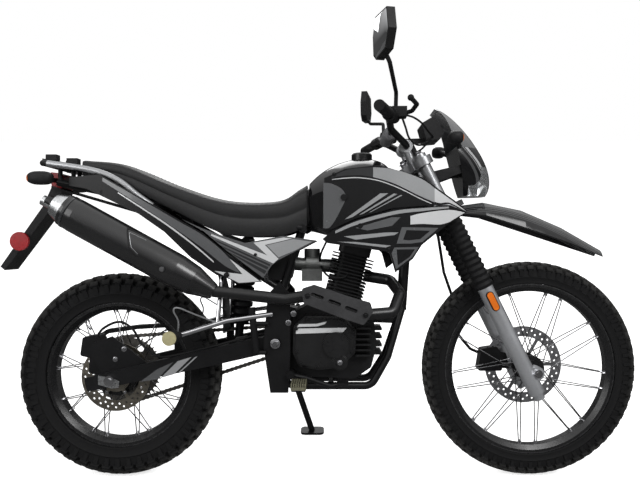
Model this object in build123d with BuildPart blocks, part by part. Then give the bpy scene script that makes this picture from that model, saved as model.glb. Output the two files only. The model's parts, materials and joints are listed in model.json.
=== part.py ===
"""Dual-purpose dirt bike with wire wheels, parked on its side stand.

The bike is drawn upright in its own frame: +X forward, +Y to the rider's left, +Z up, the tyres
touching Z = 0 and the origin midway between the axles. Each finished piece is then leaned onto
the side stand. Lengths are millimetres and angles are degrees.
"""

import math
import os

from build123d import *

# Stance and wheels
WHEELBASE = 1340
FRONT_TYRE_RADIUS = 350
REAR_TYRE_RADIUS = 331
FRONT_TYRE_WIDTH = 84
REAR_TYRE_WIDTH = 112
FRONT_RIM_RADIUS = 278
REAR_RIM_RADIUS = 236
RIM_DEPTH = 26
FRONT_RIM_WIDTH = 52
REAR_RIM_WIDTH = 64
LEAN = 11

# Tyre tread: knob sizes in millimetres, then shares of the tyre's width
FRONT_PITCHES = 66
REAR_PITCHES = 50
KNOB_HEIGHT = 11
KNOB_ROOT = 1
KNOB_TAPER = 9
KNOB_FILL = 0.68
CROWN_ROUND = 0.5667
TREAD_FLAT = 0.15
SHOULDER_REACH = 0.38
SHOULDER_DROP = 0.215
BELLY_REACH = 0.47
BEAD_REACH = 0.36
MIDDLE_KNOB = 0.226
SIDE_KNOB = 0.19

FRONT_X = WHEELBASE / 2
REAR_X = -WHEELBASE / 2
FRONT_Z = FRONT_TYRE_RADIUS
REAR_Z = REAR_TYRE_RADIUS
FRONT_AXLE = (FRONT_X, 0, FRONT_Z)
REAR_AXLE = (REAR_X, 0, REAR_Z)

# Running fits
PIN_PLAY = 0.05
SEAT_GAP = 0.3

# Axles and hubs
FRONT_AXLE_RADIUS = 7.5
REAR_AXLE_RADIUS = 8.5
FRONT_HUB_WIDTH = 100
REAR_HUB_WIDTH = 120
FRONT_HUB_RADIUS = 30
FRONT_FLANGE_RADIUS = 44
FRONT_FLANGE_SPREAD = 66
REAR_HUB_RADIUS = 42
REAR_FLANGE_RADIUS = 64
REAR_FLANGE_SPREAD = 84
FLANGE_THICKNESS = 10
SPOKE_RADIUS = 1.7
SPOKES_PER_FLANGE = 18
SPOKE_STAGGER = 4
FRONT_SPOKE_SWING = 44
REAR_SPOKE_SWING = 36

# Brake discs
FRONT_DISC_RADIUS = 129
REAR_DISC_RADIUS = 110
DISC_BAND = 34
DISC_THICKNESS = 4
FRONT_DISC_Y = FRONT_HUB_WIDTH / 2 + SEAT_GAP + DISC_THICKNESS / 2
REAR_DISC_Y = -REAR_HUB_WIDTH / 2 - SEAT_GAP - DISC_THICKNESS / 2
DISC_HOLE_RADIUS = 3.6
DISC_HOLES = 24

# Fork and steering
RAKE = 26.3
CLAMP_OFFSET = 42
AXLE_LEAD = 26
FORK_SPREAD = 184
FORK_TUBE_RADIUS = 19
SLIDER_RADIUS = 25
BOOT_RADIUS = 31
STEM_RADIUS = 14
HEAD_TUBE_RADIUS = 27
SLIDER_BOTTOM = -80
SLIDER_TOP = 314
BOOT_TOP = 566
LOWER_CLAMP = (574, 604)
HEAD_TUBE = (612, 736)
UPPER_CLAMP = (744, 770)
FORK_TOP = 782

RAKE_SIN = math.sin(math.radians(RAKE))
RAKE_COS = math.cos(math.radians(RAKE))
STEER_X = FRONT_X - (CLAMP_OFFSET + AXLE_LEAD) * RAKE_COS
STEER_Z = FRONT_Z - (CLAMP_OFFSET + AXLE_LEAD) * RAKE_SIN
# The steering plane: Z runs up the steering axis, X points ahead of it, the axle is level with Z = 0.
STEER = Plane((STEER_X, 0, STEER_Z), x_dir=(RAKE_COS, 0, RAKE_SIN), z_dir=(-RAKE_SIN, 0, RAKE_COS))

# Handlebar
BAR_RADIUS = 11
BAR_CLAMP = (262, 1072)
BAR_CLAMP_Y = 48
BAR_RISE = (206, 1112)
BAR_RISE_Y = 138
GRIP_IN = (196, 1132)
GRIP_IN_Y = 258
GRIP_END = (152, 1126)
GRIP_END_Y = 415
GRIP_RADIUS = 16
GRIP_LENGTH = 128

# Swing arm, chain and rear end
PIVOT = (-152, 448)
PIVOT_RADIUS = 8
ARM_Y = 104
ARM_WIDTH = 30
ARM_HEIGHT = 50
ARM_TAIL = 78
CHAIN_Y = 68
CHAIN_PITCH = 15.875
REAR_TEETH = 44
FRONT_TEETH = 15
FRONT_SPROCKET = (-84, 446)
SPROCKET_THICKNESS = 6
TOOTH_SLOPE = 72
CHAIN_PLATE = 2.5
CHAIN_HALF_HEIGHT = 6.5
CHAIN_PLAY = 0.6

# Frame tubes
FRAME_TUBE = 16
CRADLE_TUBE = 12
CRADLE_Y = 62
CRADLE_Z = 302
PLATE_Y = 126
PLATE_THICKNESS = 6
RAIL_TUBE = 11
RAIL_Y = 78

# Engine
CYLINDER_TILT = 14
CYLINDER_BASE = (52, 552)
CASE_Y = (-88, 56)
FIN_PITCH = 11
FIN_THICKNESS = 4
BARREL_FINS = 8
HEAD_FINS = 6

# Side stand
STAND_PIVOT = (-128, 152, 330)
STAND_FOOT_Y = 285
STAND_FORWARD = 78
STAND_TUBE = 11
STAND_PIN = 8
STAND_PIN_REACH = (-40, 14)


# Shared forms


def steer_point(ahead, left, up):
    """A point given along the steering plane, in the bike's frame."""
    return STEER.from_local_coords(Vector(ahead, left, up))


def tube(points, radius, bend=40):
    """A round bar along straight runs joined by tangent bends."""
    with BuildPart() as bar:
        with BuildLine() as route:
            if len(points) == 2:
                Line(*points)
            else:
                FilletPolyline(*points, radius=bend)
        path = route.wires()[0]
        with BuildSketch(Plane(path @ 0, z_dir=path % 0)):
            Circle(radius)
        sweep(path=path)
    return bar.part


def rod(start, end, radius):
    """A straight round rod between two points."""
    return tube([start, end], radius)


def side_plate(outline, y_low, y_high, corner=0):
    """A flat plate cut to an outline in side view, between two sideways places."""
    with BuildPart() as plate:
        with BuildSketch(Plane.XZ.offset(-y_high)):
            with BuildLine():
                Polyline(*outline, close=True)
            make_face()
        extrude(amount=y_high - y_low)
        if corner:
            fillet(plate.edges().filter_by(Axis.Y), radius=corner)
    return plate.part


def side_disc(centre, radius, y_low, y_high, bore=0):
    """A round plate square to the sideways axis, with an optional bore."""
    with BuildPart() as disc:
        with BuildSketch(Plane.XZ.offset(-y_high)):
            with Locations(centre):
                Circle(radius)
                if bore:
                    Circle(bore, mode=Mode.SUBTRACT)
        extrude(amount=y_high - y_low)
    return disc.part


def curved_panel(outline, plan, thickness, lean=0.0):
    """A left-hand body panel: a side outline taken from a sheet that follows a plan curve.

    plan holds three (x, y) places of the sheet's outer face, joined by one arc.
    """
    lows = [z for _, z in outline]
    low = min(lows) - 5
    high = max(lows) + 5
    rear, middle, front = plan
    with BuildPart() as panel:
        with BuildSketch(Plane.XY.offset(low)):
            with BuildLine():
                outer = ThreePointArc(rear, middle, front)
                inner = ThreePointArc(*[(x, y - thickness) for x, y in plan])
                Line(outer @ 0, inner @ 0)
                Line(outer @ 1, inner @ 1)
            make_face()
        extrude(amount=high - low, dir=(0, lean, 1))
        with BuildSketch(Plane.XZ):
            with BuildLine():
                Polyline(*outline, close=True)
            make_face()
        extrude(amount=-400, mode=Mode.INTERSECT)
    return panel.part


# Wheels


def facet_ring(sections, pitches):
    """A ring of flat facets, one for each knob pitch, through (sideways place, reach) sections."""
    with BuildPart() as ring:
        for y, reach in sections:
            with BuildSketch(Plane.XZ.offset(-y)):
                RegularPolygon(reach, pitches, major_radius=False)
        loft(ruled=True)
    return ring.part


def knob(place, along, outward, length, across, height):
    """A tapered tread block standing on a facet, rooted a little below it."""
    with BuildPart() as block:
        with BuildSketch(Plane(place - outward * KNOB_ROOT, x_dir=along, z_dir=outward)):
            Rectangle(length, across)
        extrude(amount=height + KNOB_ROOT, taper=KNOB_TAPER)
    return block.part


def tyre(axle, radius, width, rim_radius, pitches):
    """An off-road tyre: middle knobs and pairs of shoulder knobs by turns round a faceted casing."""
    crown = CROWN_ROUND * width
    tread = radius - KNOB_HEIGHT
    flat = TREAD_FLAT * width
    shoulder_y = SHOULDER_REACH * width
    shoulder = tread - SHOULDER_DROP * width
    belly_y = BELLY_REACH * width
    belly = (shoulder + rim_radius) / 2
    bead_y = BEAD_REACH * width
    outside = [(flat, tread), (shoulder_y, shoulder), (belly_y, belly)]
    inside = [(bead_y, rim_radius), (belly_y, belly)]
    middle_knob = MIDDLE_KNOB * width
    middle_height = KNOB_HEIGHT - crown + math.sqrt(crown**2 - middle_knob**2 / 4)
    length = KNOB_FILL * math.tau * radius / pitches
    slope = Vector(0, tread - shoulder, shoulder_y - flat).normalized()
    knobs = []
    for index in range(pitches):
        angle = math.tau * (index + 0.5) / pitches
        out = Vector(math.cos(angle), 0, math.sin(angle))
        along = Vector(-math.sin(angle), 0, math.cos(angle))
        if index % 2:
            knobs.append(knob(out * tread, along, out, length, middle_knob, middle_height))
            continue
        for side in (-1, 1):
            place = out * (tread + shoulder) / 2 + Vector(0, side * (flat + shoulder_y) / 2, 0)
            outward = out * slope.Z + Vector(0, side * slope.Y, 0)
            knobs.append(knob(place, along, outward, length, SIDE_KNOB * width, KNOB_HEIGHT))
    with BuildPart() as ring:
        add(facet_ring([(-y, reach) for y, reach in reversed(outside)] + outside, pitches))
        add(
            facet_ring([(-y, reach) for y, reach in reversed(inside)] + inside, pitches),
            mode=Mode.SUBTRACT,
            clean=False,
        )
        add(knobs, clean=False)
    return ring.part.moved(Location(axle))


def spoke_ends(hub_radius, hub_y, rim_radius, rim_y, swing):
    """Both ends of each spoke of one flange, about the wheel's centre."""
    ends = []
    step = 360 / SPOKES_PER_FLANGE
    for index in range(SPOKES_PER_FLANGE):
        lead = 1 if index % 2 else -1
        hub_angle = math.radians(index * step)
        rim_angle = math.radians(index * step + lead * swing)
        side = 1 if hub_y > 0 else -1
        y = hub_y + lead * side * SPOKE_STAGGER / 2
        hub = (hub_radius * math.cos(hub_angle), y, hub_radius * math.sin(hub_angle))
        rim = (rim_radius * math.cos(rim_angle), rim_y, rim_radius * math.sin(rim_angle))
        ends.append((hub, rim))
    return ends


def wire_wheel(axle, rim_radius, rim_width, hub_radius, flange_radius, spread, swing, bore, hub_width):
    """A rim, its hub and the crossed spokes that join them, as one built-up wheel."""
    inside = rim_radius - RIM_DEPTH
    half = rim_width / 2
    well = 0.3 * rim_width
    with BuildPart() as wheel:
        with BuildSketch(Plane.YZ):
            with BuildLine():
                Polyline(
                    (-half, rim_radius),
                    (-half, rim_radius - 12),
                    (-well, inside),
                    (well, inside),
                    (half, rim_radius - 12),
                    (half, rim_radius),
                    close=True,
                )
            make_face()
        revolve(axis=Axis.Y)
        with BuildSketch(Plane.XZ.offset(-hub_width / 2)):
            Circle(hub_radius)
        extrude(amount=hub_width)
        for y in (-spread / 2, spread / 2):
            with BuildSketch(Plane.XZ.offset(-y - FLANGE_THICKNESS / 2)):
                Circle(flange_radius)
            extrude(amount=FLANGE_THICKNESS)
        spokes = []
        for y in (-spread / 2, spread / 2):
            rim_y = math.copysign(0.18 * rim_width, y)
            for hub, rim in spoke_ends(flange_radius - 4, y, inside + 6, rim_y, swing):
                spokes.append(rod(hub, rim, SPOKE_RADIUS))
        add(spokes)
        with BuildSketch(Plane.XZ.offset(-hub_width)):
            Circle(bore)
        extrude(amount=2 * hub_width, mode=Mode.SUBTRACT)
    return wheel.part.moved(Location(axle))


def brake_disc(axle, radius, y, ring_inner, ring_outer):
    """A drilled disc on a six-armed carrier."""
    inner = radius - DISC_BAND
    with BuildPart() as disc:
        with BuildSketch(Plane.XZ.offset(-y - DISC_THICKNESS / 2)):
            Circle(radius)
            Circle(inner, mode=Mode.SUBTRACT)
            with PolarLocations((inner + ring_outer) / 2, 6):
                Rectangle(inner - ring_outer + 8, 10)
            Circle(ring_outer)
            Circle(ring_inner, mode=Mode.SUBTRACT)
            with PolarLocations(radius - 0.34 * DISC_BAND, DISC_HOLES):
                Circle(DISC_HOLE_RADIUS, mode=Mode.SUBTRACT)
            with PolarLocations(radius - 0.66 * DISC_BAND, DISC_HOLES, start_angle=180 / DISC_HOLES):
                Circle(DISC_HOLE_RADIUS, mode=Mode.SUBTRACT)
        extrude(amount=DISC_THICKNESS)
    return disc.part.moved(Location(axle))


with BuildPart() as front_tyre:
    add(tyre(FRONT_AXLE, FRONT_TYRE_RADIUS, FRONT_TYRE_WIDTH, FRONT_RIM_RADIUS + SEAT_GAP, FRONT_PITCHES))
front_tyre.part.label = "front_tyre"

with BuildPart() as rear_tyre:
    add(tyre(REAR_AXLE, REAR_TYRE_RADIUS, REAR_TYRE_WIDTH, REAR_RIM_RADIUS + SEAT_GAP, REAR_PITCHES))
rear_tyre.part.label = "rear_tyre"

with BuildPart() as front_rim:
    add(
        wire_wheel(
            FRONT_AXLE, FRONT_RIM_RADIUS, FRONT_RIM_WIDTH, FRONT_HUB_RADIUS, FRONT_FLANGE_RADIUS,
            FRONT_FLANGE_SPREAD, FRONT_SPOKE_SWING, FRONT_AXLE_RADIUS + PIN_PLAY, FRONT_HUB_WIDTH,
        )
    )
front_rim.part.label = "front_rim"

with BuildPart() as rear_rim:
    add(
        wire_wheel(
            REAR_AXLE, REAR_RIM_RADIUS, REAR_RIM_WIDTH, REAR_HUB_RADIUS, REAR_FLANGE_RADIUS,
            REAR_FLANGE_SPREAD, REAR_SPOKE_SWING, REAR_AXLE_RADIUS + PIN_PLAY, REAR_HUB_WIDTH,
        )
    )
rear_rim.part.label = "rear_rim"

with BuildPart() as front_disc:
    add(brake_disc(FRONT_AXLE, FRONT_DISC_RADIUS, FRONT_DISC_Y, 20, FRONT_HUB_RADIUS + 6))
front_disc.part.label = "front_disc"

with BuildPart() as rear_disc:
    add(brake_disc(REAR_AXLE, REAR_DISC_RADIUS, REAR_DISC_Y, 24, REAR_HUB_RADIUS + 6))
rear_disc.part.label = "rear_disc"

# Fork and front end, all turning with the steering

LEG_PLACES = [(CLAMP_OFFSET, FORK_SPREAD / 2), (CLAMP_OFFSET, -FORK_SPREAD / 2)]
SLIDER_LUG = (CLAMP_OFFSET + AXLE_LEAD, 21)
FRONT_AXLE_HALF = 122
FRONT_SPACER_RADIUS = 14

with BuildPart() as fork_uppers:
    with BuildSketch(STEER.offset(BOOT_TOP + 1)):
        with Locations(*LEG_PLACES):
            Circle(FORK_TUBE_RADIUS)
    extrude(amount=FORK_TOP - BOOT_TOP - 1)
    for low, high in (LOWER_CLAMP, UPPER_CLAMP):
        with BuildSketch(STEER.offset(low)):
            with Locations(*LEG_PLACES, (0, 0)):
                Circle(31)
            with Locations((CLAMP_OFFSET / 2 + 10, 0)):
                Rectangle(48, FORK_SPREAD)
        extrude(amount=high - low)
    with BuildSketch(STEER.offset(LOWER_CLAMP[1] - 5)):
        Circle(STEM_RADIUS)
    extrude(amount=FORK_TOP - LOWER_CLAMP[1] + 5)
    for y in (BAR_CLAMP_Y, -BAR_CLAMP_Y):
        add(rod(steer_point(18, y, UPPER_CLAMP[1] - 6), (BAR_CLAMP[0], y, BAR_CLAMP[1]), 13))
        add(side_disc(BAR_CLAMP, 21, y - 15, y + 15))
    with BuildSketch(Plane.XZ.offset(-BAR_CLAMP_Y - 40)):
        with Locations(BAR_CLAMP):
            Circle(BAR_RADIUS + PIN_PLAY)
    extrude(amount=2 * BAR_CLAMP_Y + 80, mode=Mode.SUBTRACT)
fork_uppers.part.label = "fork_uppers"

with BuildPart() as fork_sliders:
    with BuildSketch(STEER.offset(SLIDER_BOTTOM + 20)):
        with Locations(*LEG_PLACES):
            Circle(SLIDER_RADIUS)
    extrude(amount=SLIDER_TOP - SLIDER_BOTTOM - 20)
    with BuildSketch(STEER.offset(SLIDER_BOTTOM)):
        with Locations(*LEG_PLACES):
            Circle(17)
    extrude(amount=24)
    for y in (FORK_SPREAD / 2, -FORK_SPREAD / 2):
        add(side_disc((FRONT_X, FRONT_Z), SLIDER_LUG[1], y - 19, y + 19))
        with BuildSketch(STEER.offset(-SLIDER_LUG[1])):
            with Locations((CLAMP_OFFSET + AXLE_LEAD / 2, y)):
                Rectangle(AXLE_LEAD + 4, 38)
        extrude(amount=2 * SLIDER_LUG[1])
    with BuildSketch(Plane.XZ.offset(-FRONT_AXLE_HALF)):
        with Locations((FRONT_X, FRONT_Z)):
            Circle(FRONT_AXLE_RADIUS + PIN_PLAY)
    extrude(amount=2 * FRONT_AXLE_HALF, mode=Mode.SUBTRACT)
fork_sliders.part.label = "fork_sliders"

BOOT_RIBS = 13

with BuildPart() as fork_boots:
    rib = (BOOT_TOP - SLIDER_TOP) / BOOT_RIBS
    for ahead, left in LEG_PLACES:
        crests = []
        for index in range(BOOT_RIBS):
            z = SLIDER_TOP + index * rib
            crests += [(26, z), (BOOT_RADIUS, z + rib / 2)]
        crests.append((26, BOOT_TOP))
        leg = Plane(steer_point(ahead, left, 0), x_dir=STEER.x_dir, z_dir=-STEER.y_dir)
        with BuildSketch(leg):
            with BuildLine():
                Polyline((0, SLIDER_TOP), *crests, (0, BOOT_TOP), close=True)
            make_face()
        revolve(axis=Axis(leg.origin, STEER.z_dir))
fork_boots.part.label = "fork_boots"

with BuildPart() as front_axle:
    add(rod((FRONT_X, -FRONT_AXLE_HALF, FRONT_Z), (FRONT_X, FRONT_AXLE_HALF, FRONT_Z), FRONT_AXLE_RADIUS))
    for side in (1, -1):
        inner = FRONT_HUB_WIDTH / 2 + 5
        outer = FORK_SPREAD / 2 - 26
        add(side_disc((FRONT_X, FRONT_Z), FRONT_SPACER_RADIUS, *sorted((side * inner, side * outer))))
        nut = FORK_SPREAD / 2 + 19
        add(side_disc((FRONT_X, FRONT_Z), 13, *sorted((side * nut, side * (nut + 9)))))
    add(fork_sliders.part, mode=Mode.SUBTRACT)
front_axle.part.label = "front_axle"

FENDER_RAIL = [(420, 880), (520, 894), (645, 868), (775, 812), (905, 738)]
FENDER_HALF = [34, 62, 70, 62, 34]
FENDER_DROP = [20, 44, 58, 46, 18]
FENDER_SKIN = 5

with BuildPart() as front_fender:
    for (x, z), half, drop in zip(FENDER_RAIL, FENDER_HALF, FENDER_DROP):
        with BuildSketch(Plane.YZ.offset(x)):
            with BuildLine():
                outer = ThreePointArc((-half, z - drop), (0, z), (half, z - drop))
                inner = ThreePointArc((-half, z - drop - FENDER_SKIN), (0, z - FENDER_SKIN), (half, z - drop - FENDER_SKIN))
                Line(outer @ 0, inner @ 0)
                Line(outer @ 1, inner @ 1)
            make_face()
    loft(ruled=True)
    with BuildSketch(STEER.offset(LOWER_CLAMP[0] + 3)):
        with Locations((CLAMP_OFFSET + 43, 0)):
            Rectangle(59, 50)
    extrude(amount=18)
front_fender.part.label = "front_fender"

# Headlight mask sections: height, nose, back and half-width
MASK_SECTIONS = [
    (912, 528, 448, 48),
    (945, 541, 442, 72),
    (1000, 534, 432, 96),
    (1060, 505, 418, 102),
    (1128, 455, 398, 88),
    (1193, 378, 354, 52),
]
MASK_SPLIT = 1064
LENS_BOX = ((508, 0, 958), (96, 150, 92))
MASK_TAB = [(345, 950), (440, 985), (446, 1012), (333, 985)]
MASK_TAB_Y = 80
SCREEN_SKIN = 7

with BuildPart() as mask_form:
    for z, nose, back, half in MASK_SECTIONS:
        with BuildSketch(Plane.XY.offset(z)):
            with BuildLine():
                face = ThreePointArc((back, -half), (nose, 0), (back, half))
                Line(face @ 0, face @ 1)
            make_face()
    loft()

with BuildPart() as headlight_shell:
    add(mask_form.part)
    with Locations(LENS_BOX[0]):
        Box(*LENS_BOX[1], mode=Mode.SUBTRACT)
    split(bisect_by=Plane.XY.offset(MASK_SPLIT), keep=Keep.BOTTOM)
    for y in (MASK_TAB_Y, -MASK_TAB_Y):
        add(side_plate(MASK_TAB, y - 6, y + 6))
    add(fork_uppers.part, mode=Mode.SUBTRACT)
headlight_shell.part.label = "headlight_shell"

with BuildPart() as headlight_lens:
    add(mask_form.part)
    with Locations(LENS_BOX[0]):
        Box(*[side - 2 * SEAT_GAP for side in LENS_BOX[1]], mode=Mode.INTERSECT)
headlight_lens.part.label = "headlight_lens"

with BuildPart() as windscreen:
    add(mask_form.part)
    add(mask_form.part.moved(Location((-SCREEN_SKIN, 0, -4))), mode=Mode.SUBTRACT)
    split(bisect_by=Plane.XY.offset(MASK_SPLIT + SEAT_GAP), keep=Keep.TOP)
windscreen.part.label = "windscreen"

DASH_OUTLINE = [(312, 1146), (350, 1168), (384, 1122), (372, 1094), (328, 1090)]
DASH_HALF = 60
DASH_ARM = [(270, 1090), (340, 1092), (340, 1104), (266, 1102)]

with BuildPart() as instrument_panel:
    add(side_plate(DASH_OUTLINE, -DASH_HALF, DASH_HALF, corner=6))
    add(side_plate(DASH_ARM, -20, 20))
    with BuildSketch(STEER.offset(UPPER_CLAMP[1] + SEAT_GAP)):
        with Locations((CLAMP_OFFSET + 6, 0)):
            Rectangle(12, 40)
    extrude(amount=72)
instrument_panel.part.label = "instrument_panel"

SIGNAL_STALK = ((428, 96, 1062), (402, 150, 1082))
SIGNAL_SIZE = (46, 62, 40)

with BuildPart() as front_signals:
    add(rod(*SIGNAL_STALK, 9))
    with Locations((SIGNAL_STALK[1][0], SIGNAL_STALK[1][1] + 14, SIGNAL_STALK[1][2])):
        Box(*SIGNAL_SIZE)
    fillet(front_signals.edges().filter_by(Axis.X), radius=10)
    mirror(about=Plane.XZ)
    add(headlight_shell.part, mode=Mode.SUBTRACT)
    add(windscreen.part, mode=Mode.SUBTRACT)
front_signals.part.label = "front_signals"

# Handlebar, its grips and what is clamped to it


def bar_point(share, side=1):
    """A point along the straight grip run, from its inner bend at 0 to its end at 1."""
    return (
        GRIP_IN[0] + share * (GRIP_END[0] - GRIP_IN[0]),
        side * (GRIP_IN_Y + share * (GRIP_END_Y - GRIP_IN_Y)),
        GRIP_IN[1] + share * (GRIP_END[1] - GRIP_IN[1]),
    )


HALF_BAR = [
    (BAR_CLAMP[0], BAR_CLAMP_Y + 28, BAR_CLAMP[1]),
    (BAR_RISE[0], BAR_RISE_Y, BAR_RISE[1]),
    (GRIP_IN[0], GRIP_IN_Y - 60, GRIP_IN[1]),
    bar_point(1),
]
BAR_ROUTE = [(x, -y, z) for x, y, z in reversed(HALF_BAR)] + HALF_BAR
CROSSBAR = (209, 1109)
CROSSBAR_HALF = 134
PAD_RADIUS = 22
PAD_HALF = 88

with BuildPart() as handlebar:
    add(tube(BAR_ROUTE, BAR_RADIUS, bend=24))
    add(rod((CROSSBAR[0], -CROSSBAR_HALF, CROSSBAR[1]), (CROSSBAR[0], CROSSBAR_HALF, CROSSBAR[1]), 7))
handlebar.part.label = "handlebar"

with BuildPart() as bar_pad:
    add(side_disc(CROSSBAR, PAD_RADIUS, -PAD_HALF, PAD_HALF, bore=7 + SEAT_GAP))
bar_pad.part.label = "bar_pad"

LEVER_ROUTE = [(214, 226, 1138), (258, 246, 1146), (262, 330, 1148), (236, 404, 1150)]

with BuildPart() as hand_controls:
    add(rod(bar_point(0.2), bar_point(1.03), GRIP_RADIUS))
    add(rod(bar_point(1.0), bar_point(1.06), 15))
    add(rod(bar_point(-0.06), bar_point(0.2), 21))
    add(rod(bar_point(-0.3), bar_point(-0.12), 18))
    add(tube(LEVER_ROUTE, 6.5, bend=18))
    with Locations(LEVER_ROUTE[-1]):
        Sphere(9)
    with Locations((222, 226, 1146)):
        Box(44, 46, 30)
    mirror(about=Plane.XZ)
    add(tube(BAR_ROUTE, BAR_RADIUS + PIN_PLAY, bend=24), mode=Mode.SUBTRACT)
hand_controls.part.label = "hand_controls"

MIRROR_STEM = [(212, 232, 1156), (212, 246, 1200), (176, 440, 1236), (160, 458, 1262)]
MIRROR_FACE = [(-66, -40), (-40, -58), (46, -52), (74, -8), (58, 50), (-48, 58), (-72, 12)]
MIRROR_CENTRE = (160, 462, 1303)
MIRROR_YAW = 12
MIRROR_DEPTH = 22

with BuildPart() as mirrors:
    add(tube(MIRROR_STEM, 6, bend=16))
    back = Plane(
        MIRROR_CENTRE,
        x_dir=(math.sin(math.radians(MIRROR_YAW)), math.cos(math.radians(MIRROR_YAW)), 0),
        z_dir=(math.cos(math.radians(MIRROR_YAW)), -math.sin(math.radians(MIRROR_YAW)), 0),
    )
    with BuildSketch(back):
        with BuildLine():
            Polyline(*MIRROR_FACE, close=True)
        make_face()
    extrude(amount=MIRROR_DEPTH / 2, both=True)
    mirror(about=Plane.XZ)
    add(hand_controls.part, mode=Mode.SUBTRACT)
mirrors.part.label = "mirrors"

# Front brake caliper and its hose
CALIPER_OUTLINE = [(514, 330), (596, 330), (600, 384), (578, 412), (526, 404)]
CALIPER_ARM = [(570, 336), (628, 332), (618, 386), (570, 392)]

with BuildPart() as front_caliper:
    add(side_plate(CALIPER_OUTLINE, 38, 84, corner=8))
    add(side_disc((FRONT_X, FRONT_Z), FRONT_DISC_RADIUS + 6, FRONT_DISC_Y - 8, FRONT_DISC_Y + 8), mode=Mode.SUBTRACT)
    add(side_plate(CALIPER_ARM, 68, 84))
    add(fork_sliders.part, mode=Mode.SUBTRACT)
front_caliper.part.label = "front_caliper"

HOSE_ROUTE = [
    (556, 88, 372),
    (500, 92, 396),
    (458, 92, 446),
    (450, 90, 540),
    (408, 86, 660),
    (388, 78, 780),
    steer_point(14, 60, LOWER_CLAMP[0] - 1),
]

with BuildPart() as brake_hose:
    add(tube(HOSE_ROUTE, 5, bend=22))
    add(fork_uppers.part, mode=Mode.SUBTRACT)
    add(front_caliper.part, mode=Mode.SUBTRACT)
brake_hose.part.label = "brake_hose"

# Frame members
SPINE_ROUTE = [(322, 0, 928), (210, 0, 924), (40, 0, 872), (-70, 0, 806)]
DOWN_ROUTE = [steer_point(-6, 0, 668), steer_point(-74, 0, 610), (252, 0, 540)]
RAIL_CROSS = (-70, 806)
CRADLE_ROUTE = [
    (254, 10, 548),
    (204, 44, 392),
    (150, CRADLE_Y, CRADLE_Z),
    (-112, CRADLE_Y, CRADLE_Z),
    (-150, 96, 360),
]
PLATE_OUTLINE = [(-112, 294), (-106, 420), (-106, 600), (-140, 640), (-176, 600), (-190, 440), (-168, 294)]
PLATE_CROSSES = [(-140, 336), (-136, 610)]

with BuildPart() as frame_spine:
    with BuildSketch(STEER.offset(HEAD_TUBE[0])):
        Circle(HEAD_TUBE_RADIUS)
    extrude(amount=HEAD_TUBE[1] - HEAD_TUBE[0])
    add(tube(SPINE_ROUTE, 20, bend=60))
    add(tube(DOWN_ROUTE, 17, bend=60))
    add(side_plate([(296, 908), (268, 838), (170, 905), (240, 922)], -5, 5))
    add(rod((RAIL_CROSS[0], -RAIL_Y - 8, RAIL_CROSS[1]), (RAIL_CROSS[0], RAIL_Y + 8, RAIL_CROSS[1]), 13))
    with BuildSketch(STEER.offset(HEAD_TUBE[0] - 40)):
        Circle(STEM_RADIUS + PIN_PLAY)
    extrude(amount=HEAD_TUBE[1] - HEAD_TUBE[0] + 80, mode=Mode.SUBTRACT)
frame_spine.part.label = "frame_spine"

STAND_EYE = Vector(*STAND_PIVOT)
GROUND_UP = Vector(0, -math.sin(math.radians(LEAN)), math.cos(math.radians(LEAN)))
STAND_FOOT = Vector(
    STAND_PIVOT[0] + STAND_FORWARD, STAND_FOOT_Y, STAND_FOOT_Y * math.tan(math.radians(LEAN))
)
STAND_DOWN = (STAND_FOOT - STAND_EYE).normalized()
STAND_UP = Vector(-0.985, 0.12, 0.13).normalized()
STAND_AXIS = STAND_DOWN.cross(STAND_UP).normalized()

with BuildPart() as frame_cradle:
    add(tube(CRADLE_ROUTE, CRADLE_TUBE, bend=40))
    mirror(about=Plane.XZ)
    for y in (PLATE_Y, -PLATE_Y):
        add(side_plate(PLATE_OUTLINE, y - PLATE_THICKNESS / 2, y + PLATE_THICKNESS / 2))
    for x, z in PLATE_CROSSES:
        add(rod((x, -PLATE_Y, z), (x, PLATE_Y, z), 11))
    add(rod((20, -CRADLE_Y, CRADLE_Z), (20, CRADLE_Y, CRADLE_Z), 9))
    add(rod((-136, -60, 610), (-78, -50, 796), 12))
    add(rod((-136, 60, 610), (-78, 50, 796), 12))
    add(rod(STAND_EYE + STAND_AXIS * STAND_PIN_REACH[0], STAND_EYE + STAND_AXIS * STAND_PIN_REACH[1], STAND_PIN))
    add(frame_spine.part, mode=Mode.SUBTRACT)
    with BuildSketch(Plane.XZ.offset(-PLATE_Y - 10)):
        with Locations(PIVOT):
            Circle(PIVOT_RADIUS + PIN_PLAY)
    extrude(amount=2 * PLATE_Y + 20, mode=Mode.SUBTRACT)
frame_cradle.part.label = "frame_cradle"

RAIL_TOP = [(-72, RAIL_Y, 807), (-300, RAIL_Y, 838), (-850, RAIL_Y, 953)]
RAIL_LOW = [(-137, RAIL_Y, 611), (-585, RAIL_Y, 896)]
RAIL_TIES = [(-470, 872), (-836, 950)]

with BuildPart() as seat_rails:
    add(tube(RAIL_TOP, RAIL_TUBE, bend=80))
    add(rod(*RAIL_LOW, 10))
    mirror(about=Plane.XZ)
    for x, z in RAIL_TIES:
        add(rod((x, -RAIL_Y, z), (x, RAIL_Y, z), 9))
    add(frame_spine.part, mode=Mode.SUBTRACT)
    add(frame_cradle.part, mode=Mode.SUBTRACT)
seat_rails.part.label = "seat_rails"

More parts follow.
